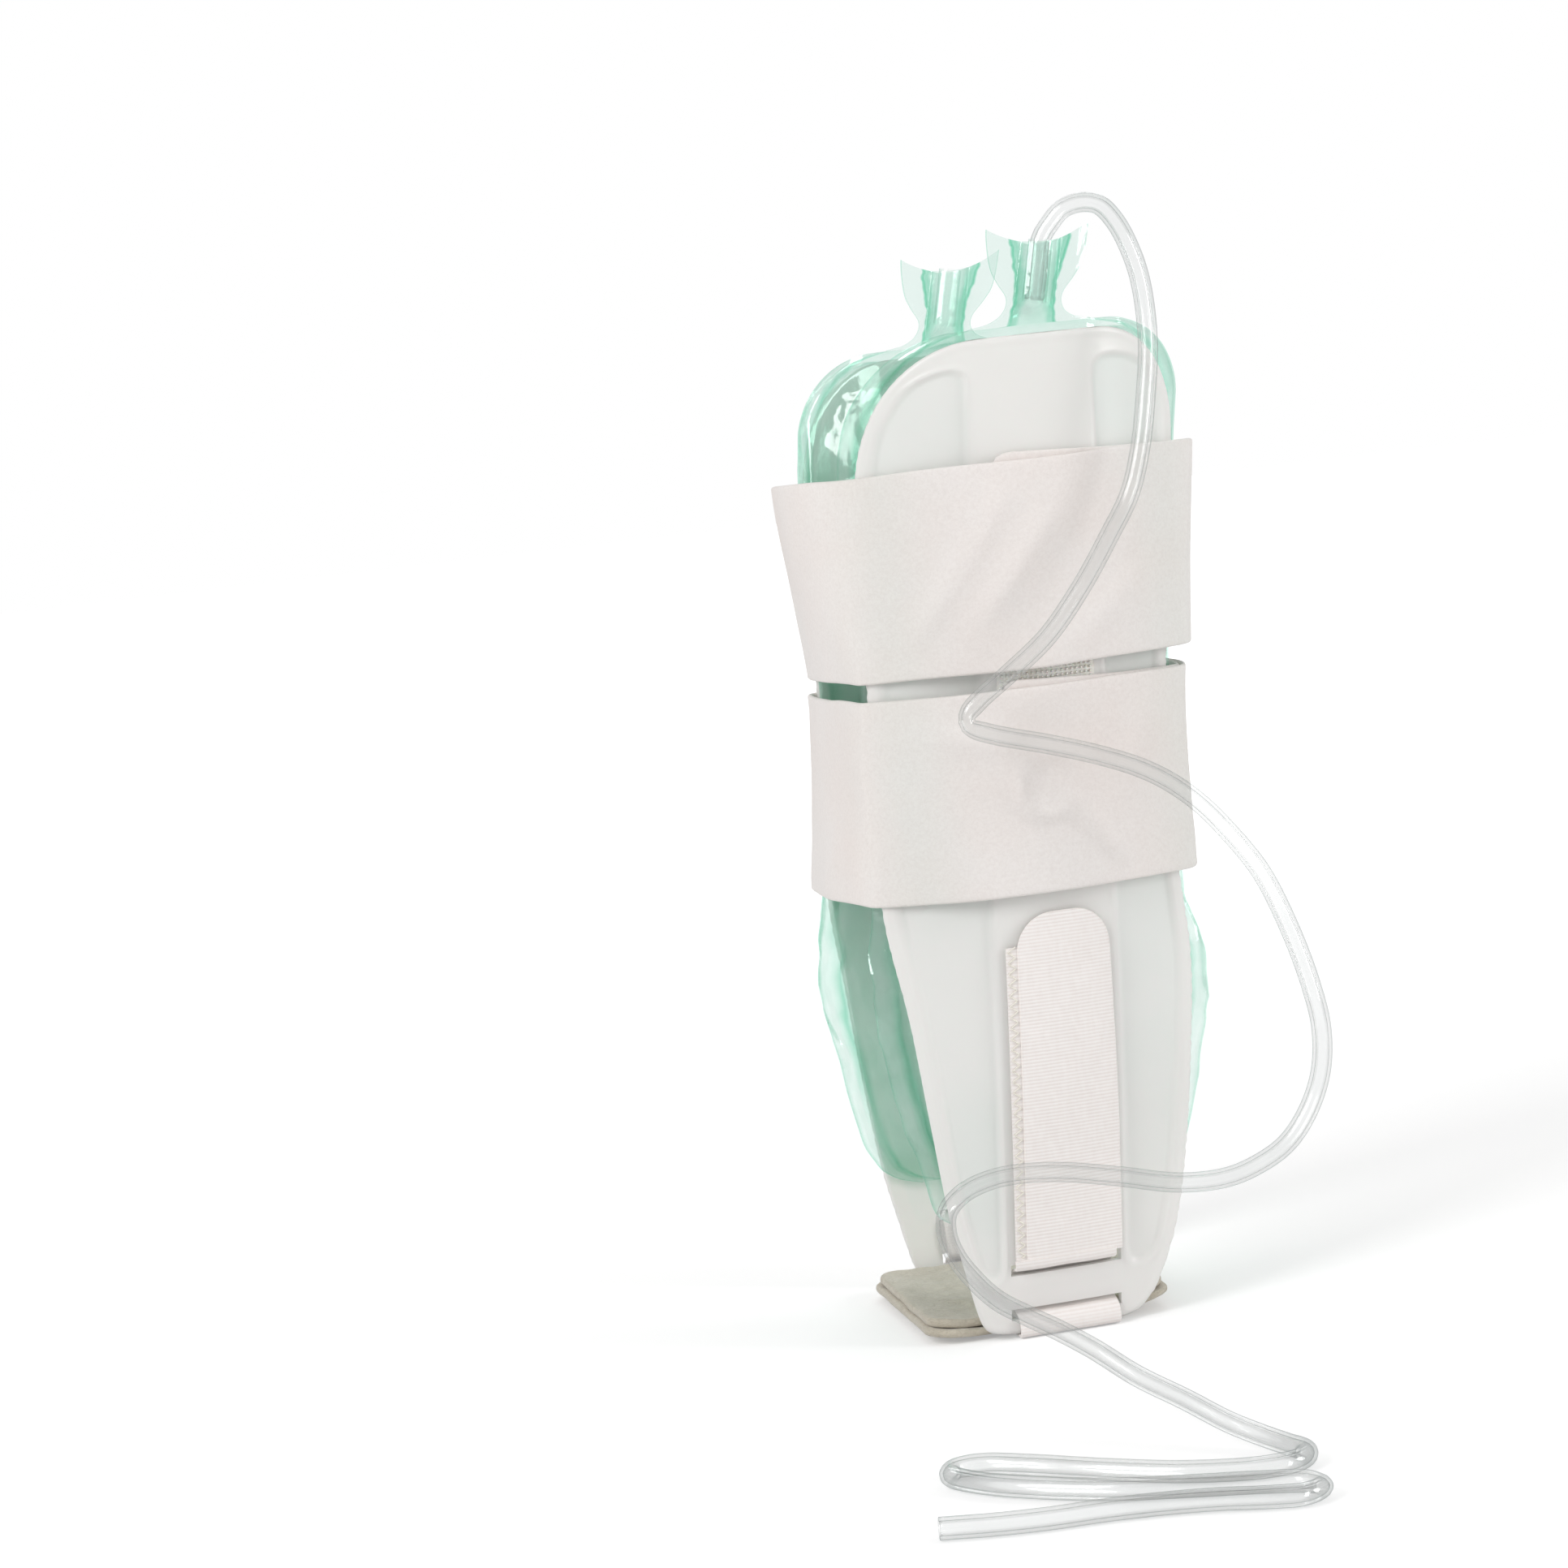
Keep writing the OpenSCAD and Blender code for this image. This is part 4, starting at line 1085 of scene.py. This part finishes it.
def build_strap(name, z0, seed, lower):
    stops = strap_stops()
    rings, ss = strap_rings(stops, z0, 51, STRAP_T, seed, 44, round_start=5.0)
    flags = np.array([1.0 if (k == 4 and e > D0 - 0.1) else 0.0 for k, t_, e, l_, s_ in stops])
    rings = local_bumps(rings, lower, flags)
    # cut where the band crosses the mid plane, so that each half follows its own shell
    mid = rings[:, :, 1].mean(1)
    cuts = [k for k in range(1, len(mid)) if (mid[k - 1] < 0) != (mid[k] < 0)]
    parts = {"medial": [], "lateral": []}
    edges = [0] + cuts + [len(mid)]
    for k in range(len(edges) - 1):
        a, b = edges[k], edges[k + 1]
        seg = rings[a:b]
        head = tail = None
        if a > 0:
            t = mid[a - 1] / (mid[a - 1] - mid[a])
            head = rings[a - 1] * (1 - t) + rings[a] * t
        if b < len(mid):
            t = mid[b - 1] / (mid[b - 1] - mid[b])
            tail = rings[b - 1] * (1 - t) + rings[b] * t
        # a section that lies on the cut itself is the cut's own
        if head is not None and abs(seg[0] - head).max() < 0.5:
            seg = seg[1:]
        if tail is not None and abs(seg[-1] - tail).max() < 0.5:
            seg = seg[:-1]
        seg = np.concatenate([x for x in ([head] if head is not None else [], seg, [tail] if tail is not None else []) if len(x)])
        side = "medial" if mid[(a + b) // 2] < 0 else "lateral"
        # painted green light from the film: two bands on the strap's medial face, near the shell's front and back edges
        x = seg[..., 0]
        arc = ramp(-10, -26, seg[..., 1])
        cool = np.clip(0.30 * exp(-((x + 26) / 9) ** 2) * arc + 0.30 * exp(-((x - 46) / 11.0) ** 2) * arc, 0, 1)
        parts[side].append(sweep(f"{name}_{side}_{k}", seg, M_STRAP, {"cool": cool}, (k == 0, False)))
    for side, obs in parts.items():
        ob = join(f"{name}_{side}_visual", obs)
        sg = -1 if side == "medial" else 1
        zc = (z0 + 25) * S
        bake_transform(ob, "heel_base", side + "_side", start=(0, 0, zc), end=(0, sg * 0.030, zc))
        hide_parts(name)
    # loose end with its hook tab
    L_end = 44.0
    s_end = stops[-1][4]
    st = [(5, 3.6 + 0.6 * k, D3, 0, s_end + 0.6 * k) for k in range(8)] + [(5, 8.2 + (L_end - 4.0) * k / 34, D3, 0, s_end + 4.6 + (L_end - 4.0) * k / 34) for k in range(35)]
    r2, _ = strap_rings(st, z0, 51, STRAP_T, seed, 44, round_end=8.0)
    ob = sweep(name + "_free_end_visual", r2, M_STRAP, {"cool": np.zeros(r2.shape[0] * r2.shape[1])}, (False, True))
    # it folds as cloth does, over a few millimetres from where the band leaves the shell
    hinge = np.array([-0.151, 0.048, -0.987]) if name == "upper_strap" else np.array([-0.06, -0.03, -0.998])
    hinge /= np.linalg.norm(hinge)
    out_dir = r2[8].mean(0) - r2[0].mean(0)
    out_dir -= hinge * (out_dir @ hinge)
    out_dir /= np.linalg.norm(out_dir)
    mid0 = r2[0].mean(0)
    f0 = mid0 + out_dir * (((r2[0] - mid0) @ out_dir).max() + 0.2)
    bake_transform(ob, "lateral_side", name + "_end", start=tuple(f0 * S), end=tuple((f0 + out_dir * 7.0) * S))
    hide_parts(name + "_free_end")
    # hook tab: base and rows of hooks that face the shell
    aa = 15 + 30.5 * np.linspace(0, 1, 16)
    zz = np.linspace(z0 + 4, z0 + 47, 22)
    T_, Z_ = np.meshgrid(aa, zz)
    A_ = back(Z_) - T_
    base = sheet("hb", A_[:, ::-1], Z_, 3.2 + 0 * A_, 2.9 + 0 * A_, M_HOOK, None, True)
    V, F, k = [], [], 0
    for z in np.arange(z0 + 5.2, z0 + 46, 1.35):
        for a in np.arange(16, 44.8, 1.5):
            c = float(back(z)) - a
            for dd, sc in ((2.93, 0.26), (2.55, 0.34)):
                for ox, oz in ((-1, -1), (1, -1), (1, 1), (-1, 1)):
                    V.append((c + ox * sc, z + oz * sc, dd))
            for q in range(4):
                F.append((k + q, k + (q + 1) % 4, k + 4 + (q + 1) % 4, k + 4 + q))
            F += [(k + 3, k + 2, k + 1, k), (k + 4, k + 5, k + 6, k + 7)]
            k += 8
    V = np.array(V)
    X = P(V[:, 0], V[:, 1], V[:, 2]) * np.array([1, -1, 1])
    hk = make("hk", X, F, M_HOOK, smooth=False, fix=True)
    zip_body(join(name + "_hook_tab_visual", [base, hk]), name + "_end", "hook_tape", name + "_hook_tab")
    # sewn line that fixes the hook tab to the loose end
    line = []
    for zz0, zz1, a0, a1 in ((z0 + 5, z0 + 46, 16.5, 16.5), (z0 + 46, z0 + 46, 16.5, 44), (z0 + 46, z0 + 5, 44, 44), (z0 + 5, z0 + 5, 44, 16.5)):
        n = int((abs(zz1 - zz0) + abs(a1 - a0)) / 0.5)
        for i in range(n):
            t = i / n
            line.append((a0 + (a1 - a0) * t, zz0 + (zz1 - zz0) * t))
    line = np.array(line)
    dep = D3 + STRAP_T / 2 + 0.12 + 0.22 * sin(np.arange(len(line)) * math.pi / 2.5)
    X = P(back(line[:, 1]) - line[:, 0], line[:, 1], dep) * np.array([1, -1, 1])
    th = tube_mesh(name + "_end_stitching", X, 0.2, M_THREAD, 6)
    zip_body(th, name + "_end", "strap_fabric")


build_strap("upper_strap", 168, 7, False)
build_strap("lower_strap", 112.5, 19, True)


# ------------------------------------------------------------------ heel tabs, loops and strap
def heel_tab(side, flip):
    zs = np.concatenate([np.arange(19.7, 98, 0.22), 98 + 9.6 * sin(np.linspace(0.02, math.pi / 2, 46))])
    top = 107.6
    A, Z, D = [], [], []
    for z in zs:
        right = float(curve([[19, 14.2], [60, 14.0], [98, 13.0], [108, 12.6]])(z))
        left = -10.6
        if z > 98:
            k = 9.0 * (1 - math.sqrt(max(0.0, 1 - ((z - 98) / 9.6) ** 2)))
            right, left = right - k, left + k
        u = np.linspace(0, 1, 34)
        e = np.concatenate([[0, 0.01, 0.03], np.linspace(0.06, 0.94, 30), [0.97, 0.99, 1.0]])
        A.append(left + (right - left) * e)
        Z.append(np.full(len(e), z))
        edge = np.minimum(e, 1 - e) * (right - left)
        D.append(-0.35 * (1 - np.clip(edge / 0.6, 0, 1)) ** 2)
    A, Z, D = np.array(A), np.array(Z), np.array(D)
    rib = 0.030 * sin(Z * 2 * math.pi / 0.88 + 0.5 * noise(A / 3, Z / 3, 4))
    soft = 0.12 * fbm(A / 6, Z / 9, 8, 2)
    tape = sheet(f"{side}_t1", A, Z, 1.85 + D + rib + soft, 0.98 - D * 0.3 + 0 * A, M_RIB, None, flip)
    # flat woven edge beside the tape, sewn down with a zigzag
    zs = np.arange(19.7, 100.4, 0.8)
    A2, Z2 = np.meshgrid(np.linspace(-13.4, -10.4, 8), zs)
    edge = sheet(f"{side}_t2", A2, Z2, 1.35 + 0.05 * noise(A2 * 2, Z2 * 2, 3), 0.98 + 0 * A2, M_RIB, None, flip)
    zz = np.arange(21, 100, 0.28)
    k = np.arange(len(zz))
    tri = abs((zz / 1.35) % 2 - 1) * 2 - 1
    X = P(-12.0 + 1.0 * tri, zz, 1.55 + 0.12 * abs(tri))
    if flip:
        X = X * np.array([1, -1, 1])
    th = tube_mesh(f"{side}_t3", X, 0.17, M_THREAD, 6)
    ob = join(f"{side}_heel_tab_visual", [tape, edge, th])
    zip_body(ob, side + "_tab", "webbing", side + "_heel_tab")


LOOP = [[33.6, 0.45], [37.2, 0.45], [38.3, 0.9], [38.9, 2.2], [38.8, 4.3], [37.8, 5.6], [34.8, 6.5], [33.9, 7.6], [34.3, 12], [34.6, 15], [35.3, 16.7], [37.2, 17.5], [40.2, 18.0], [41, 18.6], [41.2, 20.4]]


def smooth_path(pts, n, it=3):
    p = np.array(pts, float)
    for _ in range(it):                      # corner cutting keeps the ends
        q = [p[0]]
        for a, b in zip(p[:-1], p[1:]):
            q += [a * 0.75 + b * 0.25, a * 0.25 + b * 0.75]
        q.append(p[-1])
        p = np.array(q)
    s = np.concatenate([[0], np.cumsum(np.linalg.norm(np.diff(p, axis=0), axis=1))])
    u = np.linspace(0, s[-1], n)
    return np.stack([np.interp(u, s, p[:, k]) for k in range(p.shape[1])], -1), u


def loop_band(side, flip):
    p, s = smooth_path(LOOP, 150)
    T = np.gradient(p, axis=0)
    T /= np.linalg.norm(T, axis=1)[:, None]
    Nn = np.stack([T[:, 1], -T[:, 0]], -1)
    sec = rounded_section(-13.2, 13.2, 0.85, 40, 0.4)
    sg = 1 if flip else -1
    rings = []
    for k in range(len(p)):
        rip = 0.02 * sin(s[k] * 2 * math.pi / 0.88)
        sag = 0.20 * noise(sec[:, 0] / 7, np.full(len(sec), s[k] / 6), 31) * math.sin(min(1, s[k] / 6) * math.pi / 2)
        th = sec[:, 1] * (1 + rip / 0.42)
        u = p[k, 0] + Nn[k, 0] * (th + sag * 0.5)
        z = p[k, 1] + Nn[k, 1] * (th + sag * 0.5)
        bow = -(sec[:, 0] ** 2) / 290 * ramp(2, 12, s[k])
        rings.append(np.stack([0.6 + sec[:, 0] + LEAN * z * 0, sg * (u + bow), np.maximum(z, 0.02)], -1))
    ob = sweep(f"{side}_strap_loop_visual", np.array(rings), M_RIB)
    zip_body(ob, side + "_side", "webbing", side + "_strap_loop")


for side, flip in (("medial", False), ("lateral", True)):
    heel_tab(side, flip)
    loop_band(side, flip)

ys = np.linspace(-33.6, 33.6, 140)
sec = rounded_section(-13.2, 13.2, 0.85, 30, 0.4)
rings = np.array([np.stack([0.6 + sec[:, 0], np.full(len(sec), y), 0.45 + sec[:, 1] * (1 + 0.04 * sin(y * 7.1)) + 0 * sec[:, 0]], -1) for y in ys])
zip_body(sweep("heel_strap_visual", rings, M_RIB), "heel_base", "webbing", "heel_strap")


# ------------------------------------------------------------------ heel pad: two layers of felt, soft and slightly dished
def rounded_rect(l, w, r, n):
    pts = []
    for cx, cy, a0 in ((l / 2 - r, w / 2 - r, 0), (-l / 2 + r, w / 2 - r, 90), (-l / 2 + r, -w / 2 + r, 180), (l / 2 - r, -w / 2 + r, 270)):
        for k in range(n):
            a = math.radians(a0 + 90 * k / (n - 1))
            pts.append((cx + r * math.cos(a), cy + r * math.sin(a)))
    p = np.array(pts + [pts[0]])
    s = np.concatenate([[0], np.cumsum(np.linalg.norm(np.diff(p, axis=0), axis=1))])
    u = np.linspace(0, s[-1], 241)[:-1]
    return np.stack([np.interp(u, s, p[:, 0]), np.interp(u, s, p[:, 1])], -1)


def pad_layer(name, z0, z1, inset, r_edge, seed, dish):
    ring = rounded_rect(65 - 2 * inset, 66 - 2 * inset, 7, 12)
    nr = 34
    prof = []                                  # from the centre of the top, round the edge, to the centre of the underside
    th = np.linspace(0, math.pi, 9)
    rad = (z1 - z0) / 2
    shares = np.concatenate([np.linspace(0.0, 1.0, nr)[1:]])
    V, F = [], []
    rows = []
    for sh in shares:
        rows.append((sh, r_edge, z1))
    for a in th[1:-1]:
        rows.append((1.0, r_edge - r_edge * math.sin(a) , (z0 + z1) / 2 + rad * math.cos(a)))
    for sh in shares[::-1]:
        rows.append((sh, r_edge, z0))
    m = len(ring)
    for sh, ins, z in rows:
        p = ring * sh
        nrm = np.linalg.norm(p, axis=1)[:, None] + 1e-9
        p = p - p / nrm * ins * sh
        V.append(np.concatenate([p, np.full((m, 1), z)], 1))
    V = np.concatenate([np.array([[0, 0, z1]])] + V + [np.array([[0, 0, z0]])])
    n = len(rows)
    for k in range(m):
        F.append((0, 1 + k, 1 + (k + 1) % m))
        F.append((len(V) - 1, 1 + (n - 1) * m + (k + 1) % m, 1 + (n - 1) * m + k))
    for r in range(n - 1):
        for k in range(m):
            a, b = 1 + r * m + k, 1 + r * m + (k + 1) % m
            F.append((a, a + m, b + m, b))
    X, Y = V[:, 0], V[:, 1]
    edge = np.clip(np.maximum(abs(X) / 32.5, abs(Y) / 33), 0, 1)
    lift = 2.4 * ramp(14, 31, X) ** 1.3 * dish + 0.8 * ramp(20, 32, -X) * dish
    wav = 0.35 * fbm(X / 13, Y / 13, seed, 3) + 0.12 * fbm(X / 3, Y / 3, seed + 4, 2)
    top = (V[:, 2] - z0) / (z1 - z0)
    V[:, 2] += lift + wav * (0.35 + 0.65 * top) - 0.9 * dish * top * (1 - edge**2)
    V[:, 2] = np.maximum(V[:, 2], 1.0)
    V[:, 0] += -2.5 + 0.3 * noise(X / 8, Y / 8, seed + 7) * edge
    V[:, 1] += 0.25 * noise(X / 8, Y / 8, seed + 8) * edge
    V[:, 1] = np.clip(V[:, 1], -33.1, 33.1)
    return make(name, V, F, M_FELT, fix=True)


pad = join("heel_pad_visual", [pad_layer("pl", 1.2, 3.3, 0.0, 0.9, 3, 1.0), pad_layer("pu", 3.32, 5.7, 1.1, 1.1, 14, 1.0)])
zip_body(pad, "heel_base", "felt", "heel_pad")


# ------------------------------------------------------------------ inflation tube
ZF = 2.45
TUBE = [NECK0 + ND * 7.4, NECK0 + ND * 15, NECK0 + ND * 22, [23.3, -45.6, 275.2], [26.4, -46.8, 278.2], [30.8, -48.4, 279.2], [34.6, -50.4, 278.0], [37.6, -52.4, 273.6], [40.2, -54, 266.2], [41.6, -55.2, 258],
        [41.3, -57, 244], [39.0, -58, 230.8], [36, -59, 218.5], [31.8, -60, 207.7], [25.4, -61, 198.4], [17.0, -62, 187.2], [7.0, -62, 176], [-3.4, -61, 168], [-11.8, -60.2, 162],
        [-14.6, -60, 159.0], [-14.4, -60.2, 156.6], [-9.6, -61, 154.2], [4.2, -63, 150], [14.8, -65, 146.4], [25, -66, 142], [32, -67, 137.6], [38.3, -68, 132.0], [43.8, -70, 125], [51, -72, 113.6],
        [56.2, -74, 99], [59.4, -76, 85], [60.6, -77, 74], [58.9, -78, 63.6], [54.4, -78, 54.2], [48.2, -78, 47.4], [40.5, -77, 43.2], [33, -76, 41.2], [22, -74, 41.3], [7, -72, 44.8],
        [-6, -71, 47.6], [-17, -71, 48.8], [-25, -72, 48.5], [-31.6, -73, 46.6], [-36.2, -75, 43.4], [-38, -79, 39.2], [-37.8, -85, 34.6], [-35.6, -92.5, 30], [-32.6, -101, 26.4], [-28, -110, 23.9],
        [-23, -118, 21.4], [-17.8, -126, 18.2], [-11.3, -136, 13.3], [-3.8, -147, 9.2], [2.6, -156.5, 5.4], [8, -164, 3.2], [11.2, -170.5, ZF], [12.8, -177, ZF], [9.5, -182, ZF], [1, -183, ZF],
        [-14, -177, ZF], [-28.5, -165.8, ZF], [-42, -153.4, ZF], [-51, -146.6, ZF], [-57.2, -146.4, ZF], [-59.6, -151, ZF], [-55.5, -159.5, ZF], [-46, -169.6, ZF], [-31, -180.6, ZF], [-17, -187, ZF],
        [-2.5, -193.0, ZF], [5.5, -197.4, ZF], [7.2, -202.2, ZF], [2.2, -205.4, ZF], [-5.5, -203.2, ZF], [-14.5, -199, ZF], [-25.5, -195.6, ZF], [-37, -193.4, ZF], [-48.5, -192.4, ZF], [-59.5, -190.2, ZF], [-71, -186.5, ZF]]


def catmull(P_, step):
    P_ = np.array(P_, float)
    out = []
    n = len(P_)
    for i in range(n - 1):
        p0, p1, p2, p3 = P_[max(0, i - 1)], P_[i], P_[i + 1], P_[min(n - 1, i + 2)]
        d1, d2, d3 = [max(1e-6, np.linalg.norm(b - a)) ** 0.5 for a, b in ((p0, p1), (p1, p2), (p2, p3))]
        m1 = (p1 - p0) / d1 - (p2 - p0) / (d1 + d2) + (p2 - p1) / d2 if i > 0 else (p2 - p1) / d2
        m2 = (p2 - p1) / d2 - (p3 - p1) / (d2 + d3) + (p3 - p2) / d3 if i < n - 2 else (p2 - p1) / d2
        m1, m2 = m1 * d2, m2 * d2
        k = max(2, int(np.linalg.norm(p2 - p1) / step))
        for j in range(k):
            t = j / k
            out.append((2 * t**3 - 3 * t**2 + 1) * p1 + (t**3 - 2 * t**2 + t) * m1 + (3 * t**2 - 2 * t**3) * p2 + (t**3 - t**2) * m2)
    out.append(P_[-1])
    return np.array(out)


line = catmull(TUBE, 1.1)
line[:, 2] = np.maximum(line[:, 2], ZF - 0.01)
# the wall flattens a little in the tight folds
curv = np.zeros(len(line))
d = np.diff(line, axis=0)
dn = d / np.linalg.norm(d, axis=1)[:, None]
ang = np.arccos(np.clip((dn[1:] * dn[:-1]).sum(1), -1, 1)) / np.linalg.norm(d, axis=1)[1:]
curv[1:-1] = ang
curv = np.convolve(curv, np.ones(5) / 5, "same")
squeeze = 1 - 0.16 * np.clip((curv - 0.12) / 0.2, 0, 1)
split = int(np.argmin(np.linalg.norm(line - np.array([41.3, -57, 244.0]), axis=1)))
RO, RB = 2.42, 1.6


def tube_piece(name, seg, sq, ends):
    return tube_mesh(name, seg, RO * sq, M_TUBE, 36, bore=RB * sq, ends=ends)


upper = tube_piece("inflation_tube_neck", line[:split + 1], squeeze[:split + 1], (True, False))
lower = tube_piece("inflation_tube_run", line[split:], squeeze[split:], (False, True))
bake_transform(upper, "tube", "medial_side", start=tuple((NECK0 + ND * 24) * S), end=tuple(line[split] * S))
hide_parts("inflation_tube")
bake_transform(lower, "medial_side", "heel_base", start=(0, -0.075, 0.0405), end=(0, -0.075, 0.019))
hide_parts("inflation_tube")


# ------------------------------------------------------------------ stage, light and camera
def plane(name, size, loc, rot, mat):
    me = bpy.data.meshes.new(name)
    h = size / 2
    me.from_pydata([(-h, -h, 0), (h, -h, 0), (h, h, 0), (-h, h, 0)], [], [(0, 1, 2, 3)])
    ob = bpy.data.objects.new(name, me)
    ob.location, ob.rotation_euler = loc, rot
    bpy.context.scene.collection.objects.link(ob)
    me.materials.append(mat)
    return ob


mf, nt, out = mat_new("pale_floor")
fd = nt.nodes.new("ShaderNodeBsdfDiffuse")
fd.inputs[0].default_value = (0.82, 0.82, 0.82, 1)
geo = nt.nodes.new("ShaderNodeNewGeometry")
ln = nt.nodes.new("ShaderNodeVectorMath")
ln.operation = "LENGTH"
L(nt, geo, "Position", ln, 0)
far = nt.nodes.new("ShaderNodeMapRange")
far.interpolation_type = "SMOOTHSTEP"
far.inputs["From Min"].default_value, far.inputs["From Max"].default_value = 0.25, 2.2
far.inputs["To Min"].default_value, far.inputs["To Max"].default_value = 0.30, 1.0
L(nt, ln, "Value", far, "Value")
lp = nt.nodes.new("ShaderNodeLightPath")
seen = math_node(nt, "MAXIMUM", (lp, "Is Camera Ray"), (lp, "Is Transmission Ray"))
glow = math_node(nt, "MULTIPLY", (far, 0), (seen, 0))
fe = nt.nodes.new("ShaderNodeEmission")
L(nt, glow, 0, fe, "Strength")
fa = nt.nodes.new("ShaderNodeAddShader")
L(nt, fd, 0, fa, 0)
L(nt, fe, 0, fa, 1)
L(nt, fa, 0, out, 0)
plane("floor", 30.0, (0, 0, -0.0002), (0, 0, 0), mf)

world = bpy.data.worlds.new("studio")
bpy.context.scene.world = world
world.use_nodes = True
wn = world.node_tree
wb = wn.nodes["Background"]
wp = wn.nodes.new("ShaderNodeLightPath")
wm = wn.nodes.new("ShaderNodeMapRange")
wm.inputs["To Min"].default_value, wm.inputs["To Max"].default_value = 0.54, 1.0
wx = math_node(wn, "MAXIMUM", (wp, "Is Camera Ray"), (wp, "Is Transmission Ray"))
wn.links.new(wx.outputs[0], wm.inputs["Value"])
wn.links.new(wm.outputs[0], wb.inputs["Strength"])
wb.inputs[0].default_value = (1.0, 1.0, 1.0, 1)


def area(name, loc, target, size, power, color=(1, 1, 1)):
    li = bpy.data.lights.new(name, "AREA")
    li.shape = "RECTANGLE"
    li.size, li.size_y = size
    li.energy = power
    li.color = color
    ob = bpy.data.objects.new(name, li)
    ob.location = loc
    ob.rotation_mode = "QUATERNION"
    ob.rotation_quaternion = (Vector(target) - Vector(loc)).to_track_quat("-Z", "Y")
    bpy.context.scene.collection.objects.link(ob)


area("key", (-1.25, -0.75, 1.05), (0, 0, 0.12), (0.6, 0.8), 12)
area("fill", (1.35, -0.9, 0.6), (0, 0, 0.12), (0.4, 0.9), 9.0)
area("rim", (0.3, 1.3, 1.1), (0, 0, 0.15), (1.2, 0.6), 5)

cam = bpy.data.cameras.new("camera")
cam.sensor_width = 36.0
cam.lens = 36.0 * 4330.4 / 1932
cam.clip_start, cam.clip_end = 0.05, 20
co = bpy.data.objects.new("camera", cam)
az, el, roll, D = math.radians(-11), math.radians(5), math.radians(-6.51), 0.880
back_v = Vector((math.sin(az) * math.cos(el), -math.cos(az) * math.cos(el), math.sin(el)))
tgt = Vector((-0.05334, -0.020, 0.1450))
fwd = -back_v
right = fwd.cross(Vector((0, 0, 1))).normalized()
upv = right.cross(fwd)
r2 = right * math.cos(roll) + upv * math.sin(roll)
u2 = -right * math.sin(roll) + upv * math.cos(roll)
m = Matrix((r2, u2, back_v)).transposed().to_4x4()
m.translation = tgt + back_v * D
co.matrix_world = m
bpy.context.scene.collection.objects.link(co)
bpy.context.scene.camera = co
try:
    bpy.context.scene.view_settings.view_transform = "Standard"
except TypeError:
    pass

bpy.context.view_layer.update()
